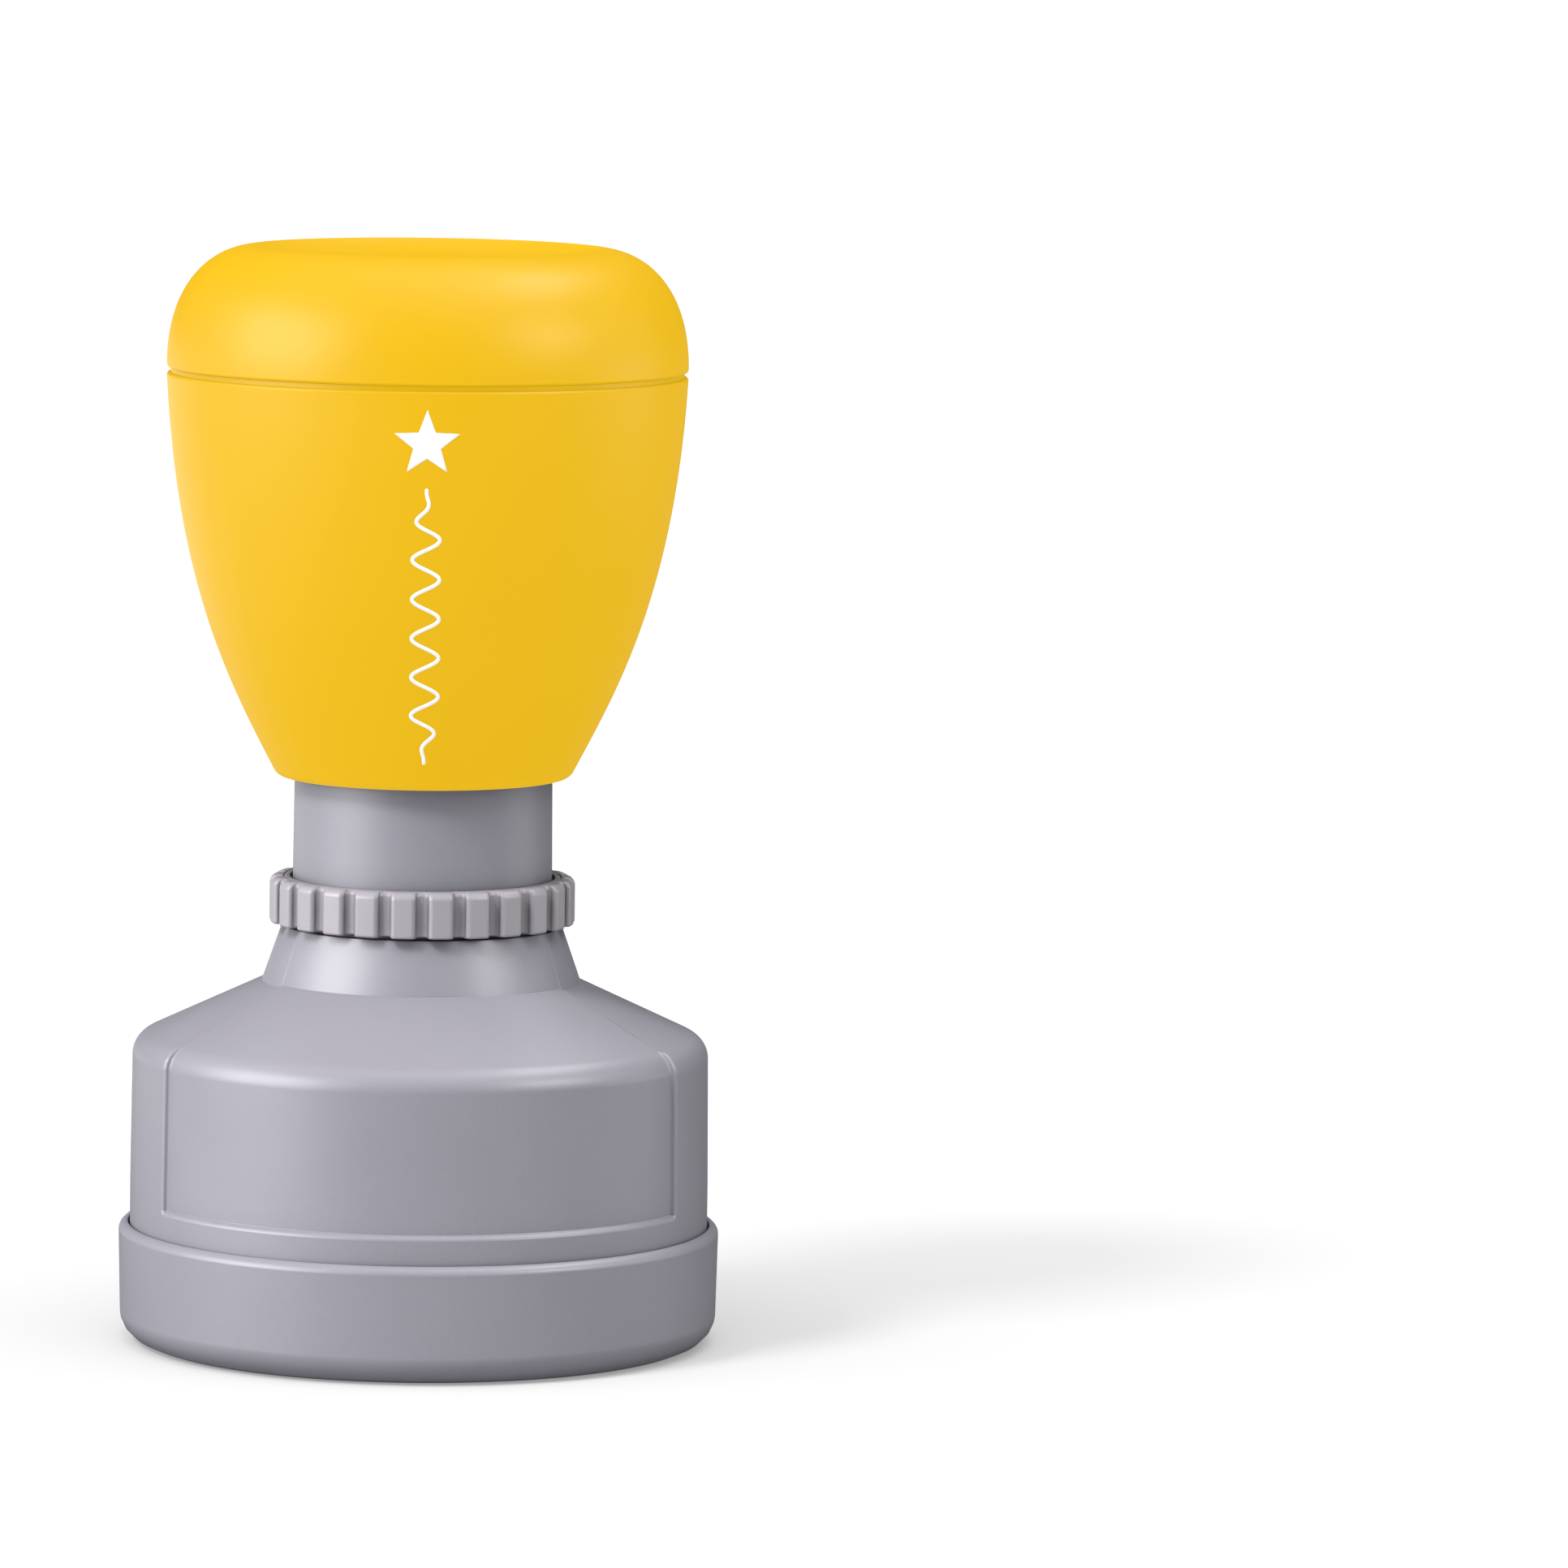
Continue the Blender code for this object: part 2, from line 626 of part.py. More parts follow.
def build_plug_seal(rubber):
    middle_z = PLUG_BORE_FLOOR_Z + PLUG_FLOOR_GAP + PLUG_GROOVE_LOW + PLUG_GROOVE_HEIGHT / 2
    outline = []
    for side in range(SEAL_SIDES):
        around = 2 * math.pi * side / SEAL_SIDES
        r = SEAL_RADIUS + SEAL_CORD_RADIUS * math.cos(around)
        outline.append((r, middle_z + SEAL_CORD_RADIUS * math.sin(around)))
    return turned("plug_seal", outline, rubber, INNER_SEGMENTS)


# ---------------------------------------------------------------- die stack

def build_die_holder(grey):
    outline = rounded([
        (INK_BORE_RADIUS, HOLDER_TOP_Z),
        (HOLDER_RADIUS, HOLDER_TOP_Z, EDGE_ROUNDING),
        (HOLDER_RADIUS, HOLDER_STEP_Z),
        (HOLDER_SPIGOT_RADIUS, HOLDER_STEP_Z),
        (HOLDER_SPIGOT_RADIUS, HOLDER_BOTTOM_Z),
        (HOLDER_BORE_RADIUS, HOLDER_BOTTOM_Z),
        (HOLDER_BORE_RADIUS, HOLDER_PLATE_BOTTOM_Z),
        (INK_BORE_RADIUS, HOLDER_PLATE_BOTTOM_Z),
    ])
    holder = turned("die_holder", outline, grey, HANDLE_SEGMENTS)
    deepest = FLANGE_TOP_Z + REST_GAP - HOLDER_SCREW_LENGTH - SCREW_TIP_GAP
    drills = hole_drills("holder_drills", holder_screw_spots(),
                         SCREW_SHANK_RADIUS + SCREW_CLEARANCE, deepest,
                         HOLDER_TOP_Z + DRILL_OVERRUN)
    combine(holder, drills, "DIFFERENCE")
    return holder


def build_ink_pad(felt):
    top = HOLDER_PLATE_BOTTOM_Z - REST_GAP
    outline = rounded([
        (0, PAD_BOTTOM_Z),
        (PAD_RADIUS, PAD_BOTTOM_Z, EDGE_ROUNDING),
        (PAD_RADIUS, top, EDGE_ROUNDING),
        (0, top),
    ])
    return turned("ink_pad", outline, felt, INNER_SEGMENTS)


def build_foam_die(foam):
    """Printing die: a flanged disc whose face carries a plain border and a five-pointed star."""
    field_z = DIE_FACE_Z + DIE_RELIEF
    border = DIE_FACE_RADIUS - DIE_BORDER_WIDTH
    top = PAD_BOTTOM_Z - REST_GAP
    outline = [
        (0, field_z),
        (border, field_z),
        (border, DIE_FACE_Z),
        (DIE_FACE_RADIUS, DIE_FACE_Z),
        (DIE_FACE_RADIUS, DIE_FLANGE_BOTTOM_Z),
        (PAD_RADIUS, DIE_FLANGE_BOTTOM_Z),
        (PAD_RADIUS, top),
        (0, top),
    ]
    die = turned("foam_die", outline, foam, HANDLE_SEGMENTS)
    star = make_tool("star_relief", prism_mesh(star_corners(), DIE_FACE_Z, DIE_FLANGE_BOTTOM_Z))
    combine(die, star, "UNION")
    return die


def star_corners():
    """Outline of a plain star: points and waists by turns."""
    corners = []
    for index in range(2 * STAR_POINTS):
        radius = STAR_WAIST_RADIUS if index % 2 else STAR_RADIUS
        angle = math.pi / 2 + index * math.pi / STAR_POINTS
        corners.append((radius * math.cos(angle), radius * math.sin(angle)))
    return corners


def build_die_ring(grey):
    skirt_bore = HOLDER_SPIGOT_RADIUS + SLIDE_GAP
    outline = rounded([
        (DIE_RING_LIP_RADIUS, DIE_RING_BOTTOM_Z),
        (HOLDER_RADIUS, DIE_RING_BOTTOM_Z, EDGE_ROUNDING),
        (HOLDER_RADIUS, HOLDER_STEP_Z - REST_GAP),
        (skirt_bore, HOLDER_STEP_Z - REST_GAP),
        (skirt_bore, DIE_RING_BOTTOM_Z + DIE_RING_LIP),
        (DIE_RING_LIP_RADIUS, DIE_RING_BOTTOM_Z + DIE_RING_LIP),
    ])
    return turned("die_ring", outline, grey, HANDLE_SEGMENTS)


# ---------------------------------------------------------------- screws

def holder_screw_spots():
    return spots_on_circle(HOLDER_SCREW_CIRCLE, 3, 90)


def handle_screw_spots():
    return spots_on_circle(HANDLE_SCREW_CIRCLE, 2, 0)


def plus_corners(reach, half):
    """Outline of a plus sign with arms that reach out from the middle and are 2 half wide."""
    corners = []
    for quarter in range(4):
        turn = Matrix.Rotation(quarter * math.pi / 2, 2)
        corners += [turn @ Vector(corner) for corner in ((half, half), (half, reach), (-half, reach))]
    return corners


def screw_mesh(name, length, steel):
    """Pan-head screw with a cross recess, its origin under the head on its axis."""
    outline = rounded([
        (0, -length),
        (SCREW_POINT_RADIUS, -length),
        (SCREW_SHANK_RADIUS, -length + SCREW_POINT_LENGTH),
        (SCREW_SHANK_RADIUS, 0),
        (SCREW_HEAD_RADIUS, 0),
        (SCREW_HEAD_RADIUS, SCREW_HEAD_HEIGHT, SCREW_HEAD_ROUNDING),
        (0, SCREW_HEAD_HEIGHT),
    ])
    blank = turned(name, outline, steel, SMALL_SEGMENTS)
    recess = make_tool(name + "_recess", prism_mesh(
        plus_corners(RECESS_LENGTH / 2, RECESS_WIDTH / 2),
        SCREW_HEAD_HEIGHT - RECESS_DEPTH, SCREW_HEAD_HEIGHT + DRILL_OVERRUN))
    combine(blank, recess, "DIFFERENCE")
    bpy.context.view_layer.update()
    finished = blank.evaluated_get(bpy.context.evaluated_depsgraph_get())
    mesh = bpy.data.meshes.new_from_object(finished)
    bpy.data.objects.remove(blank)
    bpy.data.objects.remove(recess)
    return mesh


def place_screws(prefix, mesh, spots, seat_z):
    for index, (x, y) in enumerate(spots, start=1):
        screw = bpy.data.objects.new(f"{prefix}_{index}", mesh)
        screw.location = (x * MM, y * MM, seat_z * MM)
        bpy.context.collection.objects.link(screw)


def build_screws(steel):
    holder_mesh = screw_mesh("holder_screw", HOLDER_SCREW_LENGTH, steel)
    place_screws("holder_screw", holder_mesh, holder_screw_spots(), FLANGE_TOP_Z + REST_GAP)
    handle_mesh = screw_mesh("handle_screw", HANDLE_SCREW_LENGTH, steel)
    place_screws("handle_screw", handle_mesh, handle_screw_spots(), WEB_TOP_Z + REST_GAP)


def main():
    clear_scene()
    grey = make_material("grey_plastic", 147, 142, 152, 0.45)
    yellow = make_material("yellow_plastic", 243, 195, 23, 0.3)
    rubber = make_material("black_rubber", 42, 42, 44, 0.7)
    steel = make_material("spring_steel", 190, 190, 192, 0.3, metallic=1.0)
    felt = make_material("ink_felt", 40, 40, 44, 0.95)
    foam = make_material("ink_foam", 58, 56, 60, 0.85)

    build_dust_cap(grey)
    build_housing(grey)
    build_adjusting_ring(grey)
    build_stop_washer(grey)
    build_plunger(grey)
    build_spring_washer(steel)
    build_return_spring(steel)
    build_handle_grip(yellow)
    build_handle_cap(yellow)
    build_refill_plug(rubber)
    build_plug_seal(rubber)
    build_die_holder(grey)
    build_ink_pad(felt)
    build_foam_die(foam)
    build_die_ring(grey)
    build_screws(steel)


main()
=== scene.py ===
"""Looks of the round hand stamp: fine surfaces, materials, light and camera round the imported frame.

Lengths are in millimetres until a mesh is made.  Heights and outer radii come from the frame's boxes.
"""

import math

import bmesh
import bpy
from mathutils import Matrix, Quaternion, Vector


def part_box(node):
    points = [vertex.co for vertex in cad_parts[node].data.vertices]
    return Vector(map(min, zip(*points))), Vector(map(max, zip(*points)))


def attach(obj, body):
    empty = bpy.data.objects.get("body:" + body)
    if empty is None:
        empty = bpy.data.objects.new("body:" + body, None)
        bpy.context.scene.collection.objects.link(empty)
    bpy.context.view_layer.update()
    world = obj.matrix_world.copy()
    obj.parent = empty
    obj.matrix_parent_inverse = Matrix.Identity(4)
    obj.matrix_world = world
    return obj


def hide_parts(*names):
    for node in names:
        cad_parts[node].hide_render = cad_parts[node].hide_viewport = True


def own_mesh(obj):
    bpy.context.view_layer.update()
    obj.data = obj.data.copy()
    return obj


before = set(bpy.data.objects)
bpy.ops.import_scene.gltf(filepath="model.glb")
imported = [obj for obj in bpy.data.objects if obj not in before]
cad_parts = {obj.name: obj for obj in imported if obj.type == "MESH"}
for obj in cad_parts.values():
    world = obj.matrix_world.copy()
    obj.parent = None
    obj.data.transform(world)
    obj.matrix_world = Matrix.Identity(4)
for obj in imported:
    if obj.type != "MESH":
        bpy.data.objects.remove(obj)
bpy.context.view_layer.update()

MM = 0.001

# Fineness
TURN_SEGMENTS = 192
HOUSING_SEGMENTS = 360
SMALL_SEGMENTS = 96
ROUND_STEPS = 7
CURVE_STEPS = 64
CREASE_DEGREES = 42
THREAD_ROWS = 30
DISH_STEPS = 24
LINE_END_STEPS = 6
SPRING_STEPS_PER_TURN = 48
CORD_SIDES = 12
SEAL_SIDES = 24
SCREW_SEGMENTS = 48

# Dust cap
CAP_FOOT_RADIUS = 25.76
CAP_FOOT_ROUNDING = 2.5
CAP_RIM_ROUNDING = 0.75
CAP_WALL = 0.8
CAP_FLOOR = 1.2

# Housing
SPIGOT_RADIUS = 24.5
SPIGOT_TOP_Z = 8.9
SKIRT_RADIUS = 25.0
SKIRT_BORE = 23.4
SHOULDER_RADIUS = 24.86
SHOULDER_Z = 26.1
CONE_FOOT_RADIUS = 13.76
CONE_FOOT_Z = 31.3
CONE_TOP_RADIUS = 12.08
CONE_TOP_Z = 36.15
NECK_RADIUS = 11.2
NECK_TOP_RADIUS = 11.0
NECK_BORE = 9.7
LEDGE_TOP_Z = 35.0
LEDGE_BOTTOM_Z = 33.0
HOLLOW_TOP_RADIUS = 10.5
HOLLOW_CONE_RADIUS = 12.56
GUIDE_BORE = 6.75
GUIDE_RADIUS = 8.25
GUIDE_BOTTOM_Z = 21.5
THREAD_RADIUS = 11.5
THREAD_TOP_Z = 39.1
THREAD_LEAD = 2.0
THREAD_STARTS = 2
THREAD_CLEARANCE = 0.1
THREAD_ROOT_DEPTH = 0.05
THREAD_CREST_SLOPE = 2.6
THREAD_CREST_SINK = 0.15
THREAD_FADE_ROWS = 4
HOLLOW_DROP = 1.6

# Panel in the housing's front and back
PANEL_HALF_DEGREES = 61.0
PANEL_BOTTOM_Z = 12.6
PANEL_DEPTH = 0.45
PANEL_RISE = 0.35
PANEL_BEND = 2.4
FRAME_BEND = 2.1
PANEL_TOP_GROOVE = 0.14
PANEL_LIP_ROUNDING = 0.45
PANEL_STEP_WIDTH = 0.2
PANEL_LIP_SHARE = 0.62
PANEL_LIP_RISE = 0.12
PANEL_WALL_RISE = 1.0
PANEL_GROOVE_WIDTH = 0.4
FRAME_GROOVE = 0.01

# Adjusting ring
RING_TEETH = 25
RING_ROOT_RADIUS = 12.45
RING_BORE = 11.75
TOOTH_WIDTH = 2.1
TOOTH_FLANK = 0.14
TOOTH_CORNER = 0.42
ROOT_CORNER = 0.42
ROOT_RISE = 0.12
TOOTH_TOP_ROUNDING = 0.65
ROOT_TOP_ROUNDING = 0.4
WASHER_SEAT_DEPTH = 0.75
WASHER_CLEARANCE = 0.03
WASHER_WIDTH = 0.55

# Grip and dome
GRIP_BOTTOM_RADIUS = 12.64
GRIP_TOP_Z = 83.74
GRIP_TOP_RADIUS = 22.4
GRIP_PULL_LOW = (16.31, 56.14)
GRIP_PULL_HIGH = (21.41, 64.69)
GRIP_WALL = 1.7
GRIP_BORE = 11.45
GRIP_BORE_TOP_Z = 53.0
WEB_BOTTOM_Z = 70.8
WEB_TOP_Z = 72.8
WEB_HOLE_RADIUS = 5.8
WEB_FILLET = 0.8
GRIP_RIM_DEPTH = 1.5
JOINT_ROOT_RADIUS = 22.05
JOINT_GAP = 0.02
JOINT_LIP_ROUNDING = 0.22
GRIP_SPIGOT_RADIUS = 20.5
GRIP_SPIGOT_BORE = 19.1
DOME_RIM_RADIUS = 14.93
DOME_PULL_Z = 91.7
DOME_PULL_RADIUS = 18.32
DOME_WALL = 1.45
DISH_DEPTH = 1.2
DISH_STEEPNESS = 6
DOME_CEILING_DROP = 2.4

# Printed mark on the grip
PRINT_THICKNESS = 0.03
PRINT_SINK = 0.02
MARK_STAR_Z = 79.3
MARK_STAR_RADIUS = 2.9
MARK_STAR_WAIST = 0.42
MARK_WAVE_TOP_Z = 75.4
MARK_WAVE_BOTTOM_Z = 51.6
MARK_WAVE_REACH = 1.15
MARK_WAVE_TURNS = 7
MARK_LINE_WIDTH = 0.32

# Plunger, plug and spring
SHAFT_RADIUS = 6.5
INK_BORE = 2.5
HEAD_BOTTOM_Z = 60.0
PLUG_BORE = 5.6
PLUG_BORE_FLOOR_Z = 66.4
FLANGE_TOP_Z = 21.2
PLUG_RADIUS = 5.2
PLUG_GROOVE_LOW_Z = 67.9
PLUG_GROOVE_HIGH_Z = 69.3
PLUG_GROOVE_RADIUS = 4.1
PLUG_NECK_RADIUS = 2.4
PLUG_NECK_Z = 73.5
PLUG_KNOB_LOW_Z = 75.8
PLUG_KNOB_RADIUS = 3.4
SEAL_CORD_RADIUS = 0.55
WASHER_BORE_CLEARANCE = 0.4
HEAD_OVERHANG = 0.85
SPRING_WIRE_RADIUS = 0.45
SPRING_TURNS = 8
SPRING_END_CLOSING = 0.55

# Die stack
HOLDER_STEP_Z = 13.5
HOLDER_PLATE_Z = 15.9
HOLDER_SPIGOT_RADIUS = 22.1
HOLDER_BORE = 21.4
DIE_FLANGE_Z = 9.6
DIE_FACE_RADIUS = 19.6
DIE_RELIEF = 1.0
DIE_BORDER_WIDTH = 1.0
STAR_POINTS = 5
DIE_STAR_RADIUS = 12.0
DIE_STAR_WAIST = 5.2 / 12.0
DIE_RING_LIP_RADIUS = 19.9
DIE_RING_LIP = 1.1
DIE_RING_BORE = 22.35

# Screws
SCREW_SHANK_RADIUS = 0.9
SCREW_HEAD_RADIUS = 1.9
SCREW_HEAD_HEIGHT = 1.3
SCREW_RECESS_REACH = 1.1
SCREW_RECESS_HALF = 0.22
SCREW_RECESS_DEPTH = 0.7

# Camera and light directions, from the stamp
CAMERA_PLACE = (0.0, -832.2, 139.3)
AIM_Z = 46.05
AIM_LEFT_DEGREES = 2.131
AIM_DOWN_DEGREES = 0.1535
CAMERA_ROLL_DEGREES = 0.62
LENS = 222.58
LIGHT_DISTANCE = 1000.0

# Studio
FLOOR_COLOUR = (0.348, 0.348, 0.349, 1.0)
FLOOR_GLOW = 0.83
FLOOR_REFLECTED_RIGHT = 0.15
FLOOR_DROP = 0.02
FLOOR_HALF_WIDTH = 6.0
FLOOR_DIMMING_X = (-0.2, -0.03)
PAINTED_GLOW_SHADE_REACH = 0.8
PAINTED_SHADE_REACH = 2.4
SKY_EVEN = 0.06
SKY_LOBES = (((0.15, -0.12, 1.0), 4.3), ((-0.99, -0.12, 0.0), 3.8))
SKY_LOBE_POWER = 4.0
SKY_IN_REFLECTIONS = 0.4


# ---------------------------------------------------------------- measures from the frame

BOXES = {node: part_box(node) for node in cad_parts}


def low_z(node):
    return BOXES[node][0].z / MM


def high_z(node):
    return BOXES[node][1].z / MM


def radius_of(node):
    return BOXES[node][1].x / MM


# ---------------------------------------------------------------- outlines

def rounded(corners, steps=ROUND_STEPS):
    """Outline through (r, z) corners; a third number on a corner is the radius it is rounded by."""
    points = []
    for index, corner in enumerate(corners):
        here = Vector(corner[:2])
        if len(corner) < 3:
            points.append(tuple(here))
            continue
        to_before = (Vector(corners[index - 1][:2]) - here).normalized()
        to_after = (Vector(corners[(index + 1) % len(corners)][:2]) - here).normalized()
        half_angle = to_before.angle(to_after) / 2
        centre = here + (to_before + to_after).normalized() * (corner[2] / math.sin(half_angle))
        reach = corner[2] / math.tan(half_angle)
        start = here + to_before * reach - centre
        end = here + to_after * reach - centre
        for step in range(steps + 1):
            spoke = start.lerp(end, 0.5 * (1 - math.cos(math.pi * step / steps)))
            points.append(tuple(centre + spoke.normalized() * corner[2]))
    return points


def bezier(start, pull_start, pull_end, end, steps=CURVE_STEPS):
    """Points of a cubic curve from start to end, both included."""
    points = []
    for step in range(steps + 1):
        t = step / steps
        weights = ((1 - t) ** 3, 3 * t * (1 - t) ** 2, 3 * t * t * (1 - t), t ** 3)
        controls = (start, pull_start, pull_end, end)
        points.append(tuple(sum(w * c[axis] for w, c in zip(weights, controls)) for axis in (0, 1)))
    return points


def smooth(share):
    share = min(1.0, max(0.0, share))
    return share * share * (3 - 2 * share)


def grip_curve():
    return bezier((GRIP_BOTTOM_RADIUS, low_z("handle_grip")), GRIP_PULL_LOW, GRIP_PULL_HIGH,
                  (GRIP_TOP_RADIUS, GRIP_TOP_Z))


GRIP_CURVE = grip_curve()


def grip_radius(z):
    """Radius of the grip's outer surface at a height."""
    for (r_low, z_low), (r_high, z_high) in zip(GRIP_CURVE, GRIP_CURVE[1:]):
        if z <= z_high:
            return r_low + (r_high - r_low) * (z - z_low) / (z_high - z_low)
    return GRIP_TOP_RADIUS


def star_outline(points, radius, waist):
    """Corners of a plain star in its own plane, one point straight up."""
    corners = []
    for index in range(2 * points):
        reach = radius * (waist if index % 2 else 1)
        angle = math.pi / 2 + index * math.pi / points
        corners.append((reach * math.cos(angle), reach * math.sin(angle)))
    return corners


# ---------------------------------------------------------------- meshes

def finished_piece(name, bm, body, material, nodes, weighted=True):
    """Turns the bmesh into a piece that rides on a body and stands for the CAD nodes."""
    bmesh.ops.recalc_face_normals(bm, faces=bm.faces)
    mesh = bpy.data.meshes.new(name)
    bm.to_mesh(mesh)
    bm.free()
    mesh.materials.append(material)
    mesh.shade_smooth()
    mesh.set_sharp_from_angle(angle=math.radians(CREASE_DEGREES))
    piece = bpy.data.objects.new(name, mesh)
    bpy.context.collection.objects.link(piece)
    if weighted:
        normals = piece.modifiers.new("Flat faces stay flat", "WEIGHTED_NORMAL")
        normals.keep_sharp = True
    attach(piece, body)
    if nodes:
        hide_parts(*nodes)
    return piece


def turned_mesh(outline, segments=TURN_SEGMENTS):
    """Turn an (r, z) outline about Z.  An outline that starts on the axis also ends on it."""
    bm = bmesh.new()
    verts = [bm.verts.new((r * MM, 0, z * MM)) for r, z in outline]
    edges = [bm.edges.new(pair) for pair in zip(verts, verts[1:])]
    if outline[0][0] > 0:
        edges.append(bm.edges.new((verts[-1], verts[0])))
    bmesh.ops.spin(bm, geom=verts + edges, cent=(0, 0, 0), axis=(0, 0, 1),
                   angle=2 * math.pi, steps=segments, use_merge=True)
    bmesh.ops.remove_doubles(bm, verts=bm.verts, dist=0.0001 * MM)
    return bm


def ringed_mesh(columns):
    """Closed skin over columns of points, each column a closed outline at its own angle."""
    bm = bmesh.new()
    grid = []
    for angle, outline in columns:
        turn = Matrix.Rotation(angle, 3, "Z")
        grid.append([bm.verts.new(turn @ Vector((r * MM, 0, z * MM))) for r, z in outline])
    for column, following in zip(grid, grid[1:] + grid[:1]):
        for row in range(len(column)):
            bm.faces.new((column[row - 1], following[row - 1], following[row], column[row]))
    return bm


def prism_mesh(corners, z_low, z_high):
    """Upright prism over an outline of (x, y) corners."""
    bm = bmesh.new()
    base = bm.faces.new([bm.verts.new((x * MM, y * MM, z_low * MM)) for x, y in corners])
    top = bmesh.ops.extrude_face_region(bm, geom=[base])["geom"]
    raised = [item for item in top if isinstance(item, bmesh.types.BMVert)]
    bmesh.ops.translate(bm, verts=raised, vec=(0, 0, (z_high - z_low) * MM))
    bmesh.ops.recalc_face_normals(bm, faces=bm.faces)
    return bm


def combined_mesh(bm, tool_bm, operation):
    """Exact boolean of two bmeshes, as a new bmesh."""
    objects = []
    for part in (bm, tool_bm):
        bmesh.ops.recalc_face_normals(part, faces=part.faces)
        mesh = bpy.data.meshes.new("boolean_part")
        part.to_mesh(mesh)
        part.free()
        obj = bpy.data.objects.new("boolean_part", mesh)
        bpy.context.collection.objects.link(obj)
        objects.append(obj)
    modifier = objects[0].modifiers.new("Combine", "BOOLEAN")
    modifier.operation = operation
    modifier.object = objects[1]
    modifier.solver = "EXACT"
    bpy.context.view_layer.update()
    finished = objects[0].evaluated_get(bpy.context.evaluated_depsgraph_get())
    result = bmesh.new()
    result.from_mesh(finished.to_mesh())
    for obj in objects:
        bpy.data.objects.remove(obj)
    return result


# ---------------------------------------------------------------- materials

def linear(channel):
    """Linear value of one 0-255 display colour channel."""
    value = channel / 255
    if value <= 0.04045:
        return value / 12.92
    return ((value + 0.055) / 1.055) ** 2.4


def colour(red, green, blue):
    return (linear(red), linear(green), linear(blue), 1.0)


def add(tree, kind, inputs=None, **settings):
    """Adds a shader node; an input is given as a value or as the socket that feeds it."""
    node = tree.nodes.new("ShaderNode" + kind)
    for name, value in settings.items():
        setattr(node, name, value)
    for name, value in (inputs or {}).items():
        if isinstance(value, bpy.types.NodeSocket):
            tree.links.new(value, node.inputs[name])
        else:
            node.inputs[name].default_value = value
    return node


def noise(tree, size, detail=2.0, roughness=0.5):
    """Noise whose lumps are about size millimetres across."""
    place = add(tree, "TexCoord").outputs["Object"]
    return add(tree, "TexNoise", {"Vector": place, "Scale": 1 / (size * MM), "Detail": detail,
                                  "Roughness": roughness}).outputs["Fac"]


def spread(tree, value, low, high):
    """Maps a 0-1 value to low-high."""
    return add(tree, "MapRange", {"Value": value, "From Min": 0.3, "From Max": 0.7,
                                  "To Min": low, "To Max": high}).outputs["Result"]


def mix_colour(tree, factor, first, second):
    mixer = tree.nodes.new("ShaderNodeMix")
    mixer.data_type = "RGBA"
    sockets = {"factor": mixer.inputs[0], "first": mixer.inputs[6], "second": mixer.inputs[7]}
    for name, value in (("factor", factor), ("first", first), ("second", second)):
        if isinstance(value, bpy.types.NodeSocket):
            tree.links.new(value, sockets[name])
        else:
            sockets[name].default_value = value
    return mixer.outputs[2]


def scaled_colour(tree, base, factor):
    """Colour with its brightness multiplied by a number or by a socket's value."""
    if isinstance(base, tuple):
        base = base[:3]
    scale = add(tree, "VectorMath", {0: base, 3: factor}, operation="SCALE")
    return scale.outputs[0]


def worn_edges(tree):
    """0 on flat and hollow places, 1 on outer edges, where handling polishes and lightens."""
    point = add(tree, "NewGeometry").outputs["Pointiness"]
    return add(tree, "MapRange", {"Value": point, "From Min": 0.505, "From Max": 0.56,
                                  "To Min": 0.0, "To Max": 1.0}).outputs["Result"]


def hollows(tree, reach, deepest):
    """1 in the open, down to the deepest value in gaps and corners about as wide as the reach; used as a
    mask for painted shade.
    """
    occlusion = add(tree, "AmbientOcclusion", {"Distance": reach * MM}, samples=4).outputs["AO"]
    return add(tree, "MapRange", {"Value": occlusion, "From Min": 0.35, "From Max": 0.85,
                                  "To Min": deepest, "To Max": 1.0}).outputs["Result"]


